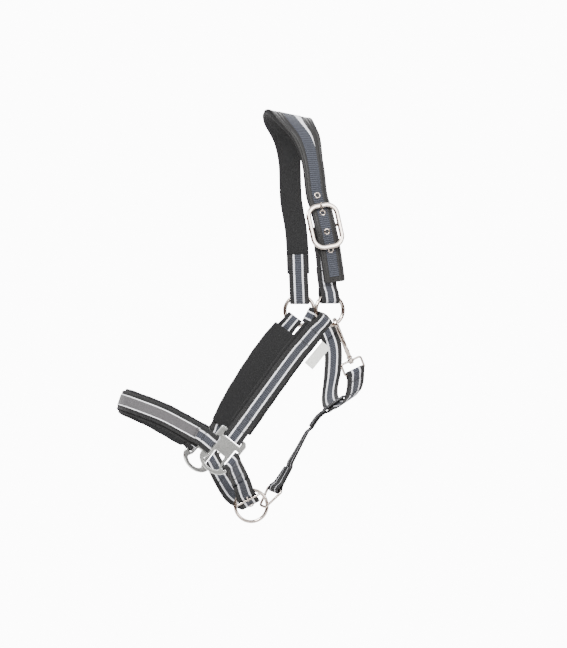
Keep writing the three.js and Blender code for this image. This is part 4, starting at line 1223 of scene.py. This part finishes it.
def snap_hook():
    outer = SNAP_MIDDLE + SNAP_HALF
    inner = SNAP_MIDDLE - SNAP_HALF
    outline = [(0.4, -3.6)]
    outline += quadratic((3, -3.6), (5, -outer), (12, -outer))
    outline += arc(SNAP_ARC, 0, outer, outer, -90, 96, 24)
    outline += arc(SNAP_ARC, 0, inner, inner, 96, -90, 18)
    outline += quadratic((20, -inner), (17, -inner), (17, 0))
    outline += [(16.7, 7.6), (16, 8.6), (9, 8.6)]
    outline += quadratic((9, 8.6), (5, 7), (3, 3.6))[1:]
    outline += [(0.4, 3.6)]
    plate("snap_hook", [outline], 5.6, 1.5, SNAP_FRAME, "snap", NICKEL, ["snap_body"])
    button = [(0, -7.0), (2.3, -6.9), (3.0, -6.3), (3.1, -5.6), (2.9, -5.15), (1.9, -5.0), (1.75, -4.2)]
    shoulder = [(1.75, 0.2), (3.3, 0.6), (3.9, 1.3), (4.0, 2.2), (3.6, 3.0), (2.7, 3.6), (0, 3.8)]
    along = frame_at(SWIVEL_AT, SNAP_FRAME[:3, 1], SNAP_FRAME[:3, 2])
    points, faces = lathe(button + shoulder, along)
    make("snap_neck", points, faces, "snap", NICKEL)
    tip = [(-1.8, 5.0), (-1.6, 5.4), (-1.6, 8.0), (-2.2, 8.4)]
    gate = [(12, 3.6)] + [(SNAP_ARC + x, y) for x, y in tip] + [(12, 8.4)]
    gate += arc(*PIVOT, 2.5, 2.5, 90, 265, 14)
    plate("snap_gate_leaf", [gate], 3.4, 0.7, SNAP_FRAME, "gate", NICKEL, ["snap_gate"])
    pin = [(0, -3.2), (0.6, -3.15), (1.0, -2.9), (0.9, -2.7), (0.9, 2.7), (1.0, 2.9), (0.6, 3.15), (0, 3.2)]
    pin_frame = SNAP_FRAME.copy()
    pin_frame[:3, 3] = place(SNAP_FRAME, (*PIVOT, 0))[0]
    points, faces = lathe(pin, pin_frame, 24)
    make("snap_rivet", points, faces, "snap", NICKEL, replaces=["snap_pin"])
    coil = [(PIVOT[0] + 1.65 * math.cos(a), PIVOT[1] + 1.65 * math.sin(a), 1.1 + 0.7 * a / (6 * math.pi))
            for a in np.linspace(0, 6 * math.pi, 90)]
    tube("snap_coil", place(SNAP_FRAME, coil), 0.2, "snap", NICKEL, sides=8,
         replaces=["snap_spring"])

    width, height, wire = EYE["width"], EYE["height"], EYE["wire"]
    loop = [(x, y - EYE_DROP / 2, 0) for x, y in rounded_rectangle(width - wire, height - wire, 3.2, 10)]
    tube("swivel_eye", place(EYE_FRAME, dense_loop(loop, 2.0)), wire / 2, "root", NICKEL,
         closed=True, replaces=["snap_eye"])
    collar = [(2.25, -2.2), (3.6, -2.2), (4.3, -1.6), (4.5, 0), (4.3, 1.6), (3.6, 2.2), (2.25, 2.2)]
    around = frame_at(EYE_FRAME[:3, 3], EYE_FRAME[:3, 0], EYE_FRAME[:3, 2])
    points, faces = lathe(collar, around)
    make("swivel_collar", points, faces, "root", NICKEL)


def dense_loop(points, step):
    """Adds places along the straight stretches of a closed loop."""
    dense = []
    for a, b in zip(points, points[1:] + points[:1]):
        a, b = np.array(a), np.array(b)
        count = max(1, int(np.linalg.norm(b - a) / step))
        dense += [tuple(a + (b - a) * i / count) for i in range(count)]
    return dense


# ---------- throat strap, jaw strap and link ----------

THROAT_LOW = vec(67, 0, -380)
THROAT_ACROSS = vec(0.83, 0, 0.56)
LINK_AT = vec(-36, -17.9, -515)
LINK_ACROSS = vec(0.443, -0.869, -0.222)
LINK_FRAME = frame_at(LINK_AT, LINK_ACROSS, vec(0.61, 0.11, 0.785))


def throat_strap():
    foot = place(EYE_FRAME, (0, -EYE_DROP, 0))[0]
    at_ring = mirrored(ring_tangent(THROAT_ANGLE))
    line = facing([
        (foot, EYE_SIDE),
        ((75.4, -84.5, -342.5), EYE_SIDE),
        ((76, -77, -356), (0.87, 0.12, 0.46)),
        ((74, -61, -370), (0.84, 0.06, 0.53)),
        ((70, -32, -378.5), THROAT_ACROSS),
        (THROAT_LOW, THROAT_ACROSS),
        ((68, 32, -378.5), THROAT_ACROSS),
        ((73, 63, -366), (0.85, -0.06, 0.52)),
        ((81, 80, -335), (0.90, -0.18, 0.36)),
        ((81.5, 85.5, -302), (0.85, -0.2, 0.48)),
        (mirrored(on_ring(THROAT_ANGLE, RING_RADIUS + 14)), at_ring),
        (mirrored(on_ring(THROAT_ANGLE)), at_ring),
    ], vec(0, 0, -1))
    end = line.length
    path = looped_route(end, {"open": 1, "reach": 0, "radius": 3.4}, NARROW_LOOP, 0)

    def width(s):
        return WEB_WIDTH - (WEB_WIDTH - NARROW_LOOP["width"]) * min(max((s - end + 16) / 10, 0), 1)
    strap("throat_latch", line, path, WEB, width=width, replaces=["throat_strap"])
    top = LAYER + WEB_THICK / 2 + STITCH_RISE
    rows = end_seams(line, 10, 1, WEB_WIDTH, top) + end_seams(line, end - 15, -1, WEB_WIDTH - 1, top)
    stitches("throat_stitches", rows, THREAD)


def jaw_strap_and_link():
    narrow, wide, height, wire = LINK["narrow"], LINK["wide"], LINK["height"], LINK["wire"]
    corners = [vec(-narrow, 0, 0), vec(narrow, 0, 0), vec(wide, height, 0), vec(-wide, height, 0)]
    loop = []
    for i, corner in enumerate(corners):
        before, after = corners[i - 1], corners[(i + 1) % 4]
        start = corner + unit(before - corner) * 3.4
        end = corner + unit(after - corner) * 3.4
        loop += [tuple(p) for p in quadratic(start, corner, end, 9)]
    tube("chin_link", place(LINK_FRAME, dense_loop(loop, 2.0)), wire / 2, "jaw_link", NICKEL,
         closed=True, replaces=["jaw_link"])

    along = unit(THROAT_ACROSS)
    line = facing([
        (place(LINK_FRAME, (0, height, 0))[0], LINK_ACROSS),
        ((-6, -8, -475), (0.28, -0.95, -0.16)),
        ((14, -3, -443), (0.08, -1, -0.04)),
        ((31, 0, -414), (0, -1, 0)),
        (THROAT_LOW - along * 27, (0, -1, 0)),
        (THROAT_LOW - along * 13, (0, -1, 0)),
        (THROAT_LOW, (0, -1, 0)),
    ], vec(0.8, 0, -0.6))
    start = {"open": 1.5, "reach": 0, "radius": 4.2}
    end = {"open": 15, "reach": 15, "radius": WEB_THICK + GAP + 0.4}
    strap("jaw_latch", line, looped_route(line.length, start, end), JAW_WEB, width=JAW_WIDTH,
          replaces=["jaw_strap"])
    rows = end_seams(line, 12, 1, JAW_WIDTH, LAYER + WEB_THICK / 2 + STITCH_RISE)
    stitches("jaw_stitches", rows, THREAD)


# ---------- studio ----------

FLOOR_HEIGHT = -0.87
FLOOR_RADIUS = 2.2
BACKDROP_STRENGTH = 12
TENT_STRENGTH = 1.45
TENT = [                        # (0 straight down to 1 straight up, colour)
    (0.0, (0.20, 0.15, 0.12)),
    (0.42, (0.09, 0.065, 0.05)),
    (0.57, (0.11, 0.09, 0.08)),
    (0.70, (0.60, 0.60, 0.62)),
    (1.0, (1.2, 1.22, 1.26)),
]
VIEW_AZIMUTH = -12              # degrees; the camera stands this far in front of the left side
VIEW_MIDDLE = (-4, -273)        # what the camera looks at, to the right and up
VIEW_HEIGHT = 0.855             # metres of the object's plane that fill the picture
VIEW_DISTANCE = 8.0
STUDIO_LIGHTS = [               # (name, place in metres, watts, size)
    ("key", (-1.6, -2.1, 1.5), 150, 0.8),
    ("fill", (1.0, -2.5, 0.65), 46, 1.2),
    ("rim", (0.9, 1.9, 1.3), 40, 1.0),
]


def studio():
    floor_mesh = bpy.data.meshes.new("floor")
    angles = np.linspace(0, 2 * math.pi, 64, endpoint=False)
    rim = [(FLOOR_RADIUS * math.cos(a), FLOOR_RADIUS * math.sin(a), FLOOR_HEIGHT) for a in angles]
    floor_mesh.from_pydata(rim, [], [tuple(range(len(rim)))])
    floor = bpy.data.objects.new("floor", floor_mesh)
    bpy.context.scene.collection.objects.link(floor)
    floor_mesh.materials.append(Nodes("studio_floor", (0.78, 0.77, 0.76), 0.9).material)
    studio_world()
    for name, at, power, size in STUDIO_LIGHTS:
        light = bpy.data.lights.new(name, "AREA")
        light.energy = power
        light.size = size
        lamp = bpy.data.objects.new(name, light)
        lamp.location = at
        aim_at(lamp, (0, 0, -0.27))
        bpy.context.scene.collection.objects.link(lamp)


def studio_world():
    """A white backdrop, and a soft tent of light that is brightest above and dim at eye level."""
    world = bpy.data.worlds.new("studio")
    world.use_nodes = True
    tree = world.node_tree
    tent = tree.nodes["Background"]
    backdrop = tree.nodes.new("ShaderNodeBackground")
    backdrop.inputs["Color"].default_value = (1, 1, 1, 1)
    backdrop.inputs["Strength"].default_value = BACKDROP_STRENGTH
    place_in_sky = tree.nodes.new("ShaderNodeTexCoord")
    split = tree.nodes.new("ShaderNodeSeparateXYZ")
    half = tree.nodes.new("ShaderNodeMath")
    half.operation = "MULTIPLY_ADD"
    half.inputs[1].default_value = 0.5
    half.inputs[2].default_value = 0.5
    ramp = tree.nodes.new("ShaderNodeValToRGB")
    stops = ramp.color_ramp.elements
    while len(stops) < len(TENT):
        stops.new(0.5)
    for stop, (height, color) in zip(stops, TENT):
        stop.position = height
        stop.color = (*color, 1)
    links = tree.links
    links.new(place_in_sky.outputs["Generated"], split.inputs[0])
    links.new(split.outputs[2], half.inputs[0])
    links.new(half.outputs[0], ramp.inputs[0])
    links.new(ramp.outputs[0], tent.inputs["Color"])
    tent.inputs["Strength"].default_value = TENT_STRENGTH
    choose = tree.nodes.new("ShaderNodeMixShader")
    path = tree.nodes.new("ShaderNodeLightPath")
    links.new(path.outputs["Is Camera Ray"], choose.inputs[0])
    links.new(tent.outputs[0], choose.inputs[1])
    links.new(backdrop.outputs[0], choose.inputs[2])
    links.new(choose.outputs[0], tree.nodes["World Output"].inputs[0])
    bpy.context.scene.world = world


def aim_at(thing, target):
    thing.rotation_euler = (Vector(target) - thing.location).to_track_quat("-Z", "Y").to_euler()


def camera():
    """A long lens in front of the left side, far enough away to show little perspective."""
    azimuth = math.radians(VIEW_AZIMUTH)
    right = vec(math.cos(azimuth), math.sin(azimuth), 0)
    toward = vec(math.sin(azimuth), -math.cos(azimuth), 0)
    middle = (right * VIEW_MIDDLE[0] + UP * VIEW_MIDDLE[1]) / 1000
    view = bpy.data.cameras.new("camera")
    view.sensor_fit = "VERTICAL"
    view.sensor_height = 36
    view.lens = view.sensor_height * VIEW_DISTANCE / VIEW_HEIGHT
    holder = bpy.data.objects.new("camera", view)
    holder.location = middle + toward * (VIEW_DISTANCE + 0.082)
    aim_at(holder, tuple(middle))
    bpy.context.scene.collection.objects.link(holder)
    bpy.context.scene.camera = holder


camera()
crown()
eyelets()
crown_buckle()
upper_rings()
hanger()
crown_end_loop()
cheekpieces()
side_castings()
noseband()
chin_ring()
chin_straps()
snap_hook()
throat_strap()
jaw_strap_and_link()
studio()
